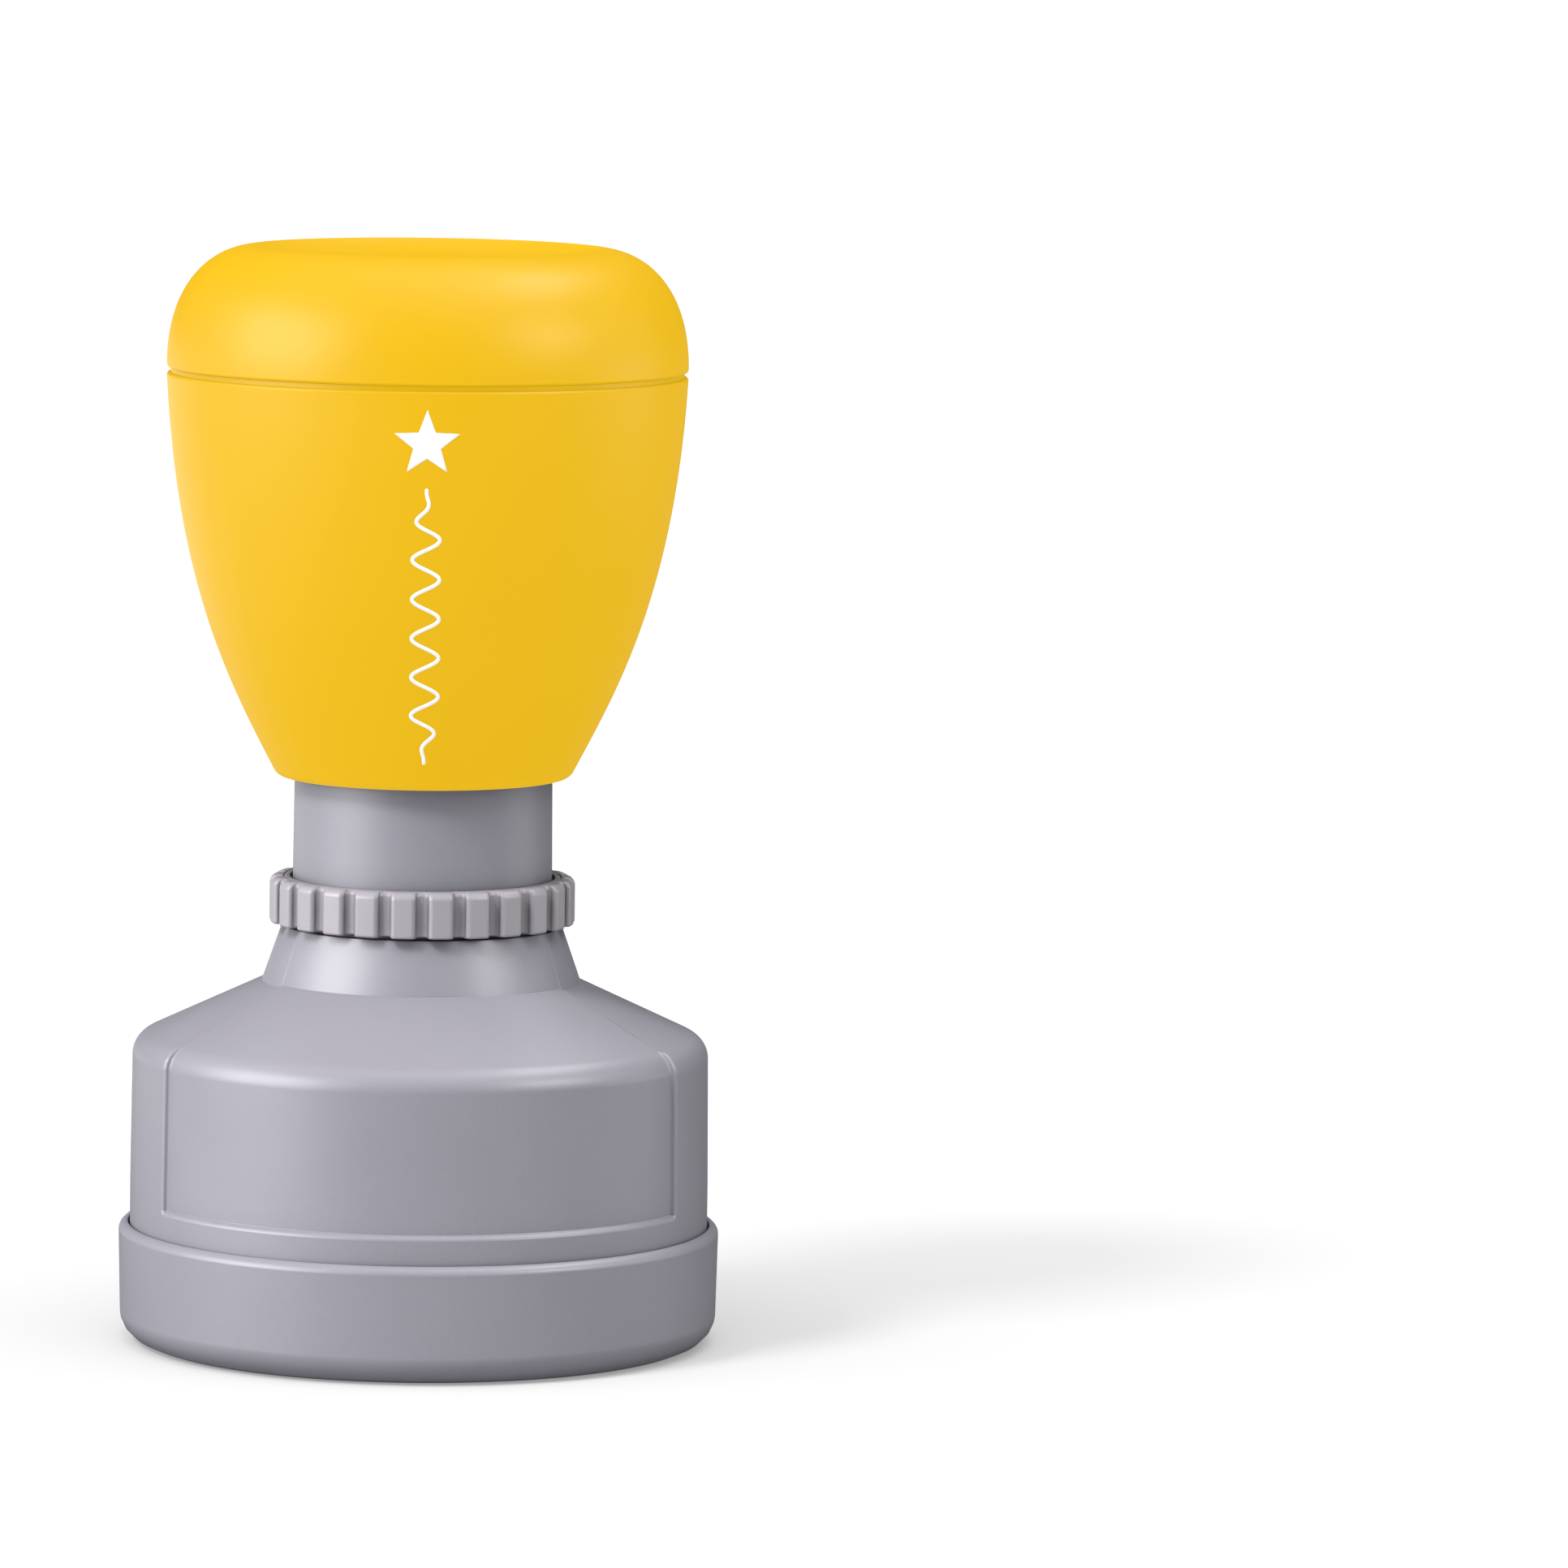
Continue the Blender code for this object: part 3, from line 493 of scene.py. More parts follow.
def moulded(name, base, rough, grain, grain_depth, speckle, mottle, gloss=0.5, painted_glow=0.0,
            painted_shade=1.0):
    """Moulded plastic: fine grain, faint speckle and slow mottling of colour and sheen.

    The painted glow is the share of the colour painted on as self-lit brightness, seen by the camera
    only, that evens out light and shade.  It is painted darker in grooves as painted shade, and
    lights nothing else.  The painted shade is how dark the colour is painted in gaps and corners,
    where shade falls."""
    material = bpy.data.materials.new(name)
    material.use_nodes = True
    tree = material.node_tree
    surface = tree.nodes["Principled BSDF"]
    fine = noise(tree, grain, detail=3.0, roughness=0.6)
    slow = noise(tree, 9.0, detail=3.0)
    colour_now = scaled_colour(tree, base, spread(tree, fine, 1 - speckle, 1 + speckle))
    colour_now = scaled_colour(tree, colour_now, spread(tree, slow, 1 - mottle, 1 + mottle))
    # Painted shade: the colour is darkened in gaps and corners, where shade falls.
    if painted_shade < 1:
        colour_now = scaled_colour(tree, colour_now, hollows(tree, PAINTED_SHADE_REACH, painted_shade))
    tree.links.new(scaled_colour(tree, colour_now, 1 - painted_glow), surface.inputs["Base Color"])
    tree.links.new(colour_now, surface.inputs["Emission Color"])
    # Painted glow: self-lit colour seen by the camera only, painted darker in grooves as painted shade.
    if painted_glow:
        shown = add(tree, "Math", {0: hollows(tree, PAINTED_GLOW_SHADE_REACH, 0.75),
                                   1: add(tree, "LightPath").outputs["Is Camera Ray"]},
                    operation="MULTIPLY")
        strength = add(tree, "Math", {0: shown.outputs[0], 1: painted_glow}, operation="MULTIPLY")
        tree.links.new(strength.outputs[0], surface.inputs["Emission Strength"])
    roughness = add(tree, "Math", {0: spread(tree, slow, rough * 0.93, rough * 1.07),
                                   1: spread(tree, fine, 0.96, 1.04)}, operation="MULTIPLY")
    tree.links.new(roughness.outputs[0], surface.inputs["Roughness"])
    surface.inputs["Specular IOR Level"].default_value = gloss
    bump = add(tree, "Bump", {"Height": fine, "Distance": grain_depth * MM, "Strength": 1.0})
    tree.links.new(bump.outputs["Normal"], surface.inputs["Normal"])
    return material


def grey_plastic():
    # Painted shade in gaps and corners, down to 0.8 of the colour.
    return moulded("satin_grey", colour(132, 130, 139), rough=0.4, grain=0.16,
                   grain_depth=0.003, speckle=0.035, mottle=0.015, painted_shade=0.8)


def ring_plastic():
    # Strong painted shade in the tooth valleys and gaps, down to 0.1 of the colour.
    return moulded("satin_grey_ring", colour(150, 146, 152), rough=0.42, grain=0.16,
                   grain_depth=0.003, speckle=0.025, mottle=0.015, painted_shade=0.1)


def yellow_plastic():
    # Most of the yellow is painted glow, seen by the camera only, which flattens its light and shade.
    return moulded("glossy_yellow", colour(238, 188, 9), rough=0.4, grain=0.35,
                   grain_depth=0.0006, speckle=0.003, mottle=0.004, gloss=0.2, painted_glow=0.84)


def white_print():
    # Half of the print's colour is painted glow, seen by the camera only.
    return moulded("white_print", colour(250, 249, 245), rough=0.5, grain=0.1,
                   grain_depth=0.003, speckle=0.01, mottle=0.01, painted_glow=0.5)


def black_rubber():
    return moulded("black_rubber_fine", colour(44, 44, 46), rough=0.7, grain=0.2,
                   grain_depth=0.01, speckle=0.1, mottle=0.06)


def ink_foam():
    return moulded("ink_soaked_foam", colour(56, 54, 58), rough=0.85, grain=0.12,
                   grain_depth=0.03, speckle=0.25, mottle=0.1)


def ink_felt():
    return moulded("ink_soaked_felt", colour(42, 41, 45), rough=0.95, grain=0.3,
                   grain_depth=0.08, speckle=0.3, mottle=0.15)


def drawn_steel():
    """Steel with fine drawing marks along its height and a little uneven sheen."""
    material = bpy.data.materials.new("drawn_steel")
    material.use_nodes = True
    tree = material.node_tree
    surface = tree.nodes["Principled BSDF"]
    place = add(tree, "TexCoord").outputs["Object"]
    stretched = add(tree, "Mapping", {"Vector": place, "Scale": (1, 1, 12)})
    marks = add(tree, "TexNoise", {"Vector": stretched.outputs[0], "Scale": 1 / (0.9 * MM),
                                   "Detail": 4.0}).outputs["Fac"]
    tint = scaled_colour(tree, mix_colour(tree, worn_edges(tree), colour(186, 186, 190),
                                          colour(222, 222, 226)), spread(tree, marks, 0.92, 1.06))
    tree.links.new(tint, surface.inputs["Base Color"])
    surface.inputs["Metallic"].default_value = 1.0
    tree.links.new(spread(tree, marks, 0.22, 0.38), surface.inputs["Roughness"])
    bump = add(tree, "Bump", {"Height": marks, "Distance": 0.004 * MM, "Strength": 1.0})
    tree.links.new(bump.outputs["Normal"], surface.inputs["Normal"])
    return material


# ---------------------------------------------------------------- cap and housing

def build_dust_cap(grey):
    radius = radius_of("dust_cap")
    top = high_z("dust_cap")
    outline = rounded([
        (0, 0),
        (CAP_FOOT_RADIUS, 0, CAP_FOOT_ROUNDING),
        (radius, top, CAP_RIM_ROUNDING),
        (radius - CAP_WALL, top, 0.04),
        (radius - CAP_WALL - 0.3, CAP_FLOOR, 0.4),
        (0, CAP_FLOOR),
    ])
    finished_piece("dust_cap_shell", turned_mesh(outline), "cap", grey,
                   ["dust_cap"])


def panel_ledge(is_panel):
    """Side of the skirt from its lower edge, over the panel's lower lip, to the start of the bend."""
    low = low_z("housing")
    inner = SKIRT_RADIUS - PANEL_DEPTH
    points = rounded([
        (SKIRT_BORE, low + 1),
        (SKIRT_BORE, low, 0.2),
        (SPIGOT_RADIUS, low, 0.2),
        (SPIGOT_RADIUS, SPIGOT_TOP_Z),
        (SKIRT_RADIUS, SPIGOT_TOP_Z + SKIRT_RADIUS - SPIGOT_RADIUS, 0.1),
        (SKIRT_RADIUS, PANEL_BOTTOM_Z, PANEL_LIP_ROUNDING),
        (inner, PANEL_BOTTOM_Z + PANEL_LIP_RISE, 0.08),
        (inner, PANEL_BOTTOM_Z + PANEL_WALL_RISE),
    ])[1:]
    if is_panel:
        return points
    return [(SKIRT_RADIUS if z > PANEL_BOTTOM_Z - 1 else r, z) for r, z in points]


def shoulder_side(is_panel):
    """Side of the housing from the wall, over the shoulder, to the cone's top."""
    sunk = PANEL_DEPTH if is_panel else 0
    rise = PANEL_RISE if is_panel else 0
    bend = PANEL_BEND if is_panel else FRAME_BEND
    groove = PANEL_TOP_GROOVE if is_panel else FRAME_GROOVE
    foot = Vector((CONE_FOOT_RADIUS - rise / 3, CONE_FOOT_Z + rise))
    bend_point = Vector((SHOULDER_RADIUS - sunk, SHOULDER_Z))
    down = (bend_point - foot).normalized()
    wall = (SKIRT_RADIUS - sunk, PANEL_BOTTOM_Z + 1.5)
    return rounded([
        wall,
        tuple(bend_point) + (bend,),
        tuple(foot + down * PANEL_GROOVE_WIDTH),
        (foot.x, foot.y - groove, 0.05),
        (CONE_TOP_RADIUS, CONE_TOP_Z, 0.1),
        (THREAD_RADIUS - 0.35, CONE_TOP_Z),
    ], steps=2 * ROUND_STEPS)


def thread_side(angle):
    """Threaded foot of the neck: the crests climb with the angle."""
    points = []
    start_z = CONE_TOP_Z + THREAD_CLEARANCE
    pitch = THREAD_LEAD / THREAD_STARTS
    for row in range(THREAD_ROWS + 1):
        z = start_z + (THREAD_TOP_Z - start_z) * row / THREAD_ROWS
        phase = (z / pitch - THREAD_STARTS * angle / (2 * math.pi)) % 1.0
        crest = smooth(THREAD_CREST_SLOPE * (0.5 - abs(phase - 0.5)) - THREAD_CREST_SINK)
        fade = smooth(min(row, THREAD_ROWS - row) / THREAD_FADE_ROWS)
        root = NECK_RADIUS - THREAD_ROOT_DEPTH
        points.append((root + (THREAD_RADIUS - NECK_RADIUS) * crest * fade, z))
    return points


def housing_inside():
    """Neck, bore, guide tube and hollow of the housing, from above the thread to the skirt."""
    top = high_z("housing")
    return rounded([
        (NECK_RADIUS, THREAD_TOP_Z + 0.2),
        (NECK_TOP_RADIUS, top, 0.4),
        (NECK_BORE, top, 0.2),
        (NECK_BORE, LEDGE_TOP_Z, 0.2),
        (GUIDE_BORE, LEDGE_TOP_Z, 0.2),
        (GUIDE_BORE, GUIDE_BOTTOM_Z, 0.2),
        (GUIDE_RADIUS, GUIDE_BOTTOM_Z, 0.2),
        (GUIDE_RADIUS, LEDGE_BOTTOM_Z, 0.5),
        (HOLLOW_TOP_RADIUS, LEDGE_BOTTOM_Z, 0.4),
        (HOLLOW_CONE_RADIUS, CONE_FOOT_Z - HOLLOW_DROP, 0.5),
        (SKIRT_BORE, SHOULDER_Z - HOLLOW_DROP, 1.2),
        (SKIRT_BORE, low_z("housing") + 2),
    ])


def panel_edge_steps():
    """(offset along the skirt, share of panel) pairs over the frame's rounded lip, down to the panel."""
    steps = []
    for step in range(ROUND_STEPS + 1):
        turn = math.pi / 2 * step / ROUND_STEPS
        steps.append((-PANEL_LIP_ROUNDING * (1 - math.sin(turn)),
                      PANEL_LIP_SHARE * (1 - math.cos(turn))))
    steps.append((PANEL_STEP_WIDTH * 0.5, 0.9))
    steps.append((PANEL_STEP_WIDTH, 0.97))
    steps.append((PANEL_STEP_WIDTH * 2, 1.0))
    return steps


def housing_angles():
    """(angle, share of panel) of each column round the housing, in order."""
    edges = []
    for facing in (-90, 90):
        for side in (-1, 1):
            middle = facing + side * PANEL_HALF_DEGREES
            for offset, share in panel_edge_steps():
                edges.append((middle - side * math.degrees(offset / SKIRT_RADIUS), share))
    step = 360 / HOUSING_SEGMENTS
    regular = []
    for index in range(HOUSING_SEGMENTS):
        angle = index * step - 180
        if min(abs(angle - edge) for edge, share in edges) > step / 3:
            regular.append((angle, 1.0 if abs(abs(angle) - 90) < PANEL_HALF_DEGREES else 0.0))
    return sorted(edges + regular)


def build_housing(grey):
    sides = {}
    for is_panel in (False, True):
        sides[is_panel] = panel_ledge(is_panel) + shoulder_side(is_panel)
    inside = housing_inside()
    columns = []
    for degrees, share in housing_angles():
        angle = math.radians(degrees)
        outside = [(a[0] + (b[0] - a[0]) * share, a[1] + (b[1] - a[1]) * share)
                   for a, b in zip(sides[False], sides[True])]
        columns.append((angle, outside + thread_side(angle) + inside))
    finished_piece("housing_shell", ringed_mesh(columns), "housing", grey,
                   ["housing"])


# ---------------------------------------------------------------- adjusting ring

def ring_column(share):
    """Closed section of the ring; share is 1 on a tooth and 0 between two teeth."""
    low = low_z("adjusting_ring")
    high = high_z("adjusting_ring")
    tip = RING_ROOT_RADIUS + (radius_of("adjusting_ring") - RING_ROOT_RADIUS) * share
    bend = ROOT_TOP_ROUNDING + (TOOTH_TOP_ROUNDING - ROOT_TOP_ROUNDING) * share
    foot = low + ROOT_RISE * (1 - share)
    seat = high - WASHER_SEAT_DEPTH
    washer_rim = radius_of("stop_washer") + WASHER_CLEARANCE
    return rounded([
        (tip, foot, 0.2),
        (tip, high, bend),
        (washer_rim, high, 0.06),
        (washer_rim, seat),
        (RING_BORE, seat),
        (RING_BORE, low, 0.15),
    ])


def tooth_side(pitch):
    """(distance along the rim, share of tooth) from the middle of a tooth to the middle of a gap."""
    depth = radius_of("adjusting_ring") - RING_ROOT_RADIUS
    side = rounded([
        (0, depth),
        (TOOTH_WIDTH / 2, depth, TOOTH_CORNER),
        (TOOTH_WIDTH / 2 + TOOTH_FLANK, 0, ROOT_CORNER),
        (pitch / 2, 0),
    ], steps=5)
    return [(along, height / depth) for along, height in side]


def build_adjusting_ring(grey):
    radius = radius_of("adjusting_ring")
    pitch = 2 * math.pi * radius / RING_TEETH
    side = tooth_side(pitch)
    whole = [(-along, share) for along, share in side[:0:-1]] + side[:-1]
    columns = []
    for tooth in range(RING_TEETH):
        middle = math.pi / 2 + tooth * pitch / radius
        for along, share in whole:
            columns.append((middle + along / radius, ring_column(share)))
    finished_piece("ring_knurl", ringed_mesh(columns), "adjusting_ring", grey,
                   ["adjusting_ring"])


def build_stop_washer(grey):
    low, high = low_z("stop_washer"), high_z("stop_washer")
    rim = radius_of("stop_washer")
    bore = rim - WASHER_WIDTH
    outline = rounded([(bore, low, 0.1), (rim, low, 0.1), (rim, high, 0.1), (bore, high, 0.1)],
                      steps=3)
    finished_piece("ring_washer", turned_mesh(outline), "stop_washer", grey,
                   ["stop_washer"])


# ---------------------------------------------------------------- handle

def build_grip(yellow):
    side = GRIP_CURVE
    low = low_z("handle_grip")
    foot = rounded([(GRIP_BORE, low, 0.25), (GRIP_BOTTOM_RADIUS, low, 1.0), side[5]])
    skin = [(r - GRIP_WALL, z) for r, z in side]
    upper = [point for point in skin if WEB_TOP_Z + WEB_FILLET < point[1] < GRIP_TOP_Z - 1.8]
    lower = [point for point in skin if GRIP_BORE_TOP_Z + 1.0 < point[1] < WEB_BOTTOM_Z - WEB_FILLET]
    ledge = low_z("handle_cap") - JOINT_GAP
    rim = rounded([
        side[-4],
        (GRIP_TOP_RADIUS, GRIP_TOP_Z, JOINT_LIP_ROUNDING),
        (JOINT_ROOT_RADIUS, GRIP_TOP_Z, 0.04),
        (JOINT_ROOT_RADIUS, ledge, 0.04),
        (GRIP_SPIGOT_RADIUS, ledge, 0.1),
        (GRIP_SPIGOT_RADIUS, high_z("handle_grip"), 0.25),
        (GRIP_SPIGOT_BORE, high_z("handle_grip"), 0.25),
        (GRIP_SPIGOT_BORE, GRIP_TOP_Z - GRIP_RIM_DEPTH),
    ])[1:]
    web = rounded([
        upper[0],
        (upper[0][0] - 0.4, WEB_TOP_Z, 0.3),
        (WEB_HOLE_RADIUS, WEB_TOP_Z, 0.2),
        (WEB_HOLE_RADIUS, WEB_BOTTOM_Z, 0.2),
        (lower[-1][0], WEB_BOTTOM_Z, 0.3),
        lower[-1],
    ])[1:-1]
    outline = foot[:-1] + side[5:-3] + rim + upper[::-1] + web + lower[::-1]
    outline.append((GRIP_BORE, GRIP_BORE_TOP_Z))
    finished_piece("grip_shell", turned_mesh(outline), "handle", yellow,
                   ["handle_grip"])


def build_dome(yellow):
    low, high = low_z("handle_cap"), high_z("handle_cap")
    outside = bezier((GRIP_TOP_RADIUS, low + 0.3), (GRIP_TOP_RADIUS, DOME_PULL_Z),
                     (DOME_PULL_RADIUS, high), (DOME_RIM_RADIUS, high))
    inner = GRIP_TOP_RADIUS - DOME_WALL
    inside = bezier((inner, low + 0.3), (inner, DOME_PULL_Z - DOME_WALL),
                    (DOME_PULL_RADIUS - DOME_WALL / 2, high - DOME_WALL),
                    (DOME_RIM_RADIUS, high - DOME_WALL), steps=CURVE_STEPS // 2)
    lip = rounded([inside[1], (inner, low, 0.2), (GRIP_TOP_RADIUS, low, JOINT_LIP_ROUNDING),
                   outside[1]])[1:-1]
    dish = []
    for step in range(DISH_STEPS):
        share = math.sin(math.pi / 2 * step / DISH_STEPS)
        dish.append((DOME_RIM_RADIUS * share, high - DISH_DEPTH * (1 - share ** DISH_STEEPNESS)))
    ceiling = [(0, high - DOME_CEILING_DROP)]
    outline = dish + outside[::-1][:-1] + lip[::-1] + inside[1:] + ceiling
    finished_piece("grip_dome", turned_mesh(outline), "handle_cap", yellow,
                   ["handle_cap"])


def wrapped_on_grip(bm, outward):
    """Bends a flat (x, height) drawing round the front of the grip."""
    for vert in bm.verts:
        across, height = vert.co.x, vert.co.z
        r = grip_radius(height) + outward
        angle = across / r
        vert.co = Vector((r * math.sin(angle) * MM, -r * math.cos(angle) * MM, height * MM))


def wave_path():
    """Middle line of the wave on the grip: (x, height) points from top to bottom."""
    points = []
    steps = 40 * MARK_WAVE_TURNS
    length = MARK_WAVE_TOP_Z - MARK_WAVE_BOTTOM_Z
    for step in range(steps + 1):
        share = step / steps
        fade = smooth(min(share, 1 - share) * 6)
        x = MARK_WAVE_REACH * fade * math.sin(2 * math.pi * MARK_WAVE_TURNS * share)
        points.append(Vector((x, 0, MARK_WAVE_TOP_Z - length * share)))
    return points


def add_ribbon(bm, path, width):
    """Flat strip of an even width along a path, with rounded ends."""
    sides = []
    last = len(path) - 1
    for index, here in enumerate(path):
        along = (path[min(index + 1, last)] - path[max(index - 1, 0)]).normalized()
        across = Vector((-along.z, 0, along.x)) * width / 2
        sides.append((bm.verts.new(here - across), bm.verts.new(here + across)))
    for (a, b), (c, d) in zip(sides, sides[1:]):
        bm.faces.new((a, b, d, c))
    for index, outward in ((0, path[0] - path[1]), (last, path[last] - path[last - 1])):
        a, b = sides[index]
        start = a.co - path[index]
        arc = []
        for step in range(1, LINE_END_STEPS):
            turn = math.pi * step / LINE_END_STEPS
            arc.append(bm.verts.new(path[index] + start * math.cos(turn)
                                    + outward.normalized() * math.sin(turn) * width / 2))
        bm.faces.new([a] + arc + [b])


def build_print(white):
    """Plain star over a wavy line, printed on the front of the grip."""
    bm = bmesh.new()
    corners = star_outline(STAR_POINTS, MARK_STAR_RADIUS, MARK_STAR_WAIST)
    middle = bm.verts.new((0, 0, MARK_STAR_Z))
    rim = [bm.verts.new((x, 0, MARK_STAR_Z + z)) for x, z in corners]
    for here, following in zip(rim, rim[1:] + rim[:1]):
        bm.faces.new((middle, here, following))
    bmesh.ops.subdivide_edges(bm, edges=bm.edges[:], cuts=5, use_grid_fill=True)
    add_ribbon(bm, wave_path(), MARK_LINE_WIDTH)
    wrapped_on_grip(bm, PRINT_THICKNESS)
    bmesh.ops.recalc_face_normals(bm, faces=bm.faces)
    for face in bm.faces:
        if face.normal.y > 0:
            face.normal_flip()
    piece = finished_piece("grip_print", bm, "handle", white, [], weighted=False)
    solid = piece.modifiers.new("Layer of print", "SOLIDIFY")
    solid.thickness = (PRINT_THICKNESS + PRINT_SINK) * MM
    solid.offset = -1.0


# ---------------------------------------------------------------- plunger, spring and plug

def build_plunger(grey):
    low, top = low_z("plunger"), high_z("plunger")
    rim = radius_of("plunger")
    head = radius_of("return_spring") + HEAD_OVERHANG
    outline = rounded([
        (INK_BORE, low, 0.2),
        (rim, low, 0.3),
        (rim, FLANGE_TOP_Z, 0.3),
        (SHAFT_RADIUS, FLANGE_TOP_Z, 0.3),
        (SHAFT_RADIUS, HEAD_BOTTOM_Z, 0.3),
        (head, HEAD_BOTTOM_Z, 0.3),
        (head, top, 0.3),
        (PLUG_BORE, top, 0.3),
        (PLUG_BORE, PLUG_BORE_FLOOR_Z, 0.2),
        (INK_BORE, PLUG_BORE_FLOOR_Z, 0.2),
    ], steps=4)
    finished_piece("plunger_shaft", turned_mesh(outline, SMALL_SEGMENTS), "handle", grey,
                   ["plunger"])


def build_spring_washer(steel):
    low, high = low_z("spring_washer"), high_z("spring_washer")
    rim = radius_of("spring_washer")
    bore = SHAFT_RADIUS + WASHER_BORE_CLEARANCE
    outline = rounded([(bore, low, 0.08), (rim, low, 0.08), (rim, high, 0.08), (bore, high, 0.08)],
                      steps=3)
    finished_piece("spring_seat_washer", turned_mesh(outline, SMALL_SEGMENTS), "housing", steel,
                   ["spring_washer"])


def build_spring(steel):
    """Coil spring whose end turns lie closer together, as closed ends do."""
    low = low_z("return_spring") + SPRING_WIRE_RADIUS
    high = high_z("return_spring") - SPRING_WIRE_RADIUS
    mean = radius_of("return_spring") - SPRING_WIRE_RADIUS
    steps = SPRING_TURNS * SPRING_STEPS_PER_TURN
    bm = bmesh.new()
    hoops = []
    for step in range(steps + 1):
        share = step / steps
        eased = share - SPRING_END_CLOSING * math.sin(2 * math.pi * share) / (2 * math.pi)
        turn = Matrix.Rotation(2 * math.pi * SPRING_TURNS * share, 3, "Z")
        hoop = []
        for side in range(CORD_SIDES):
            around = 2 * math.pi * side / CORD_SIDES
            r = mean + SPRING_WIRE_RADIUS * math.cos(around)
            z = low + (high - low) * eased + SPRING_WIRE_RADIUS * math.sin(around)
            hoop.append(bm.verts.new(turn @ Vector((r * MM, 0, z * MM))))
        hoops.append(hoop)
    for hoop, following in zip(hoops, hoops[1:]):
        for side in range(CORD_SIDES):
            bm.faces.new((hoop[side - 1], hoop[side], following[side], following[side - 1]))
    bm.faces.new(hoops[0])
    bm.faces.new(hoops[-1])
    spring = finished_piece("return_coil", bm, "housing", steel, ["return_spring"],
                            weighted=False)
    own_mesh(spring)


def build_plug(rubber):
    low, top = low_z("refill_plug"), high_z("refill_plug")
    outline = rounded([
        (0, low),
        (PLUG_RADIUS, low, 0.5),
        (PLUG_RADIUS, PLUG_GROOVE_LOW_Z, 0.1),
        (PLUG_GROOVE_RADIUS, PLUG_GROOVE_LOW_Z, 0.1),
        (PLUG_GROOVE_RADIUS, PLUG_GROOVE_HIGH_Z, 0.1),
        (PLUG_RADIUS, PLUG_GROOVE_HIGH_Z, 0.1),
        (PLUG_RADIUS, WEB_TOP_Z, 0.4),
        (PLUG_NECK_RADIUS, PLUG_NECK_Z, 0.5),
        (PLUG_NECK_RADIUS, PLUG_KNOB_LOW_Z, 0.3),
        (PLUG_KNOB_RADIUS, PLUG_KNOB_LOW_Z, 0.3),
        (PLUG_KNOB_RADIUS, top, 0.5),
        (0, top),
    ], steps=5)
    finished_piece("plug_body", turned_mesh(outline, SMALL_SEGMENTS), "refill_plug", rubber,
                   ["refill_plug"])


def build_seal(rubber):
    middle = (low_z("plug_seal") + high_z("plug_seal")) / 2
    centre = radius_of("plug_seal") - SEAL_CORD_RADIUS
    outline = []
    for side in range(SEAL_SIDES):
        around = 2 * math.pi * side / SEAL_SIDES
        outline.append((centre + SEAL_CORD_RADIUS * math.cos(around),
                        middle + SEAL_CORD_RADIUS * math.sin(around)))
    finished_piece("plug_o_ring", turned_mesh(outline, SMALL_SEGMENTS), "refill_plug", rubber,
                   ["plug_seal"])


# ---------------------------------------------------------------- die stack

def build_holder(grey):
    low, top = low_z("die_holder"), high_z("die_holder")
    rim = radius_of("die_holder")
    outline = rounded([
        (INK_BORE, top, 0.2),
        (rim, top, 0.5),
        (rim, HOLDER_STEP_Z, 0.2),
        (HOLDER_SPIGOT_RADIUS, HOLDER_STEP_Z, 0.15),
        (HOLDER_SPIGOT_RADIUS, low, 0.2),
        (HOLDER_BORE, low, 0.15),
        (HOLDER_BORE, HOLDER_PLATE_Z, 0.3),
        (INK_BORE, HOLDER_PLATE_Z, 0.2),
    ], steps=4)
    finished_piece("holder_cup", turned_mesh(outline), "handle", grey,
                   ["die_holder"])


def build_die_ring(grey):
    low, top = low_z("die_ring"), high_z("die_ring")
    rim = radius_of("die_ring")
    outline = rounded([
        (DIE_RING_LIP_RADIUS, low, 0.3),
        (rim, low, 0.6),
        (rim, top, 0.2),
        (DIE_RING_BORE, top, 0.1),
        (DIE_RING_BORE, low + DIE_RING_LIP, 0.2),
        (DIE_RING_LIP_RADIUS, low + DIE_RING_LIP, 0.1),
    ], steps=4)
    finished_piece("die_clamp_ring", turned_mesh(outline), "handle", grey,
                   ["die_ring"])


def build_pad(felt):
    low, top = low_z("ink_pad"), high_z("ink_pad")
    rim = radius_of("ink_pad")
    outline = rounded([(0, low), (rim, low, 0.9), (rim, top, 0.9), (0, top)], steps=6)
    pad = turned_mesh(outline)
    finished_piece("pad_felt", pad, "handle", felt, ["ink_pad"])


def build_die(foam):
    low, top = low_z("foam_die"), high_z("foam_die")
    field = low + DIE_RELIEF
    border = DIE_FACE_RADIUS - DIE_BORDER_WIDTH
    outline = rounded([
        (0, field),
        (border, field, 0.1),
        (border, low, 0.08),
        (DIE_FACE_RADIUS, low, 0.1),
        (DIE_FACE_RADIUS, DIE_FLANGE_Z, 0.1),
        (radius_of("foam_die"), DIE_FLANGE_Z, 0.2),
        (radius_of("foam_die"), top, 0.2),
        (0, top),
    ], steps=3)
    star = prism_mesh(star_outline(STAR_POINTS, DIE_STAR_RADIUS, DIE_STAR_WAIST), low,
                      (field + top) / 2)
    finished_piece("die_face", combined_mesh(turned_mesh(outline), star, "UNION"), "handle", foam,
                   ["foam_die"])


# ---------------------------------------------------------------- screws

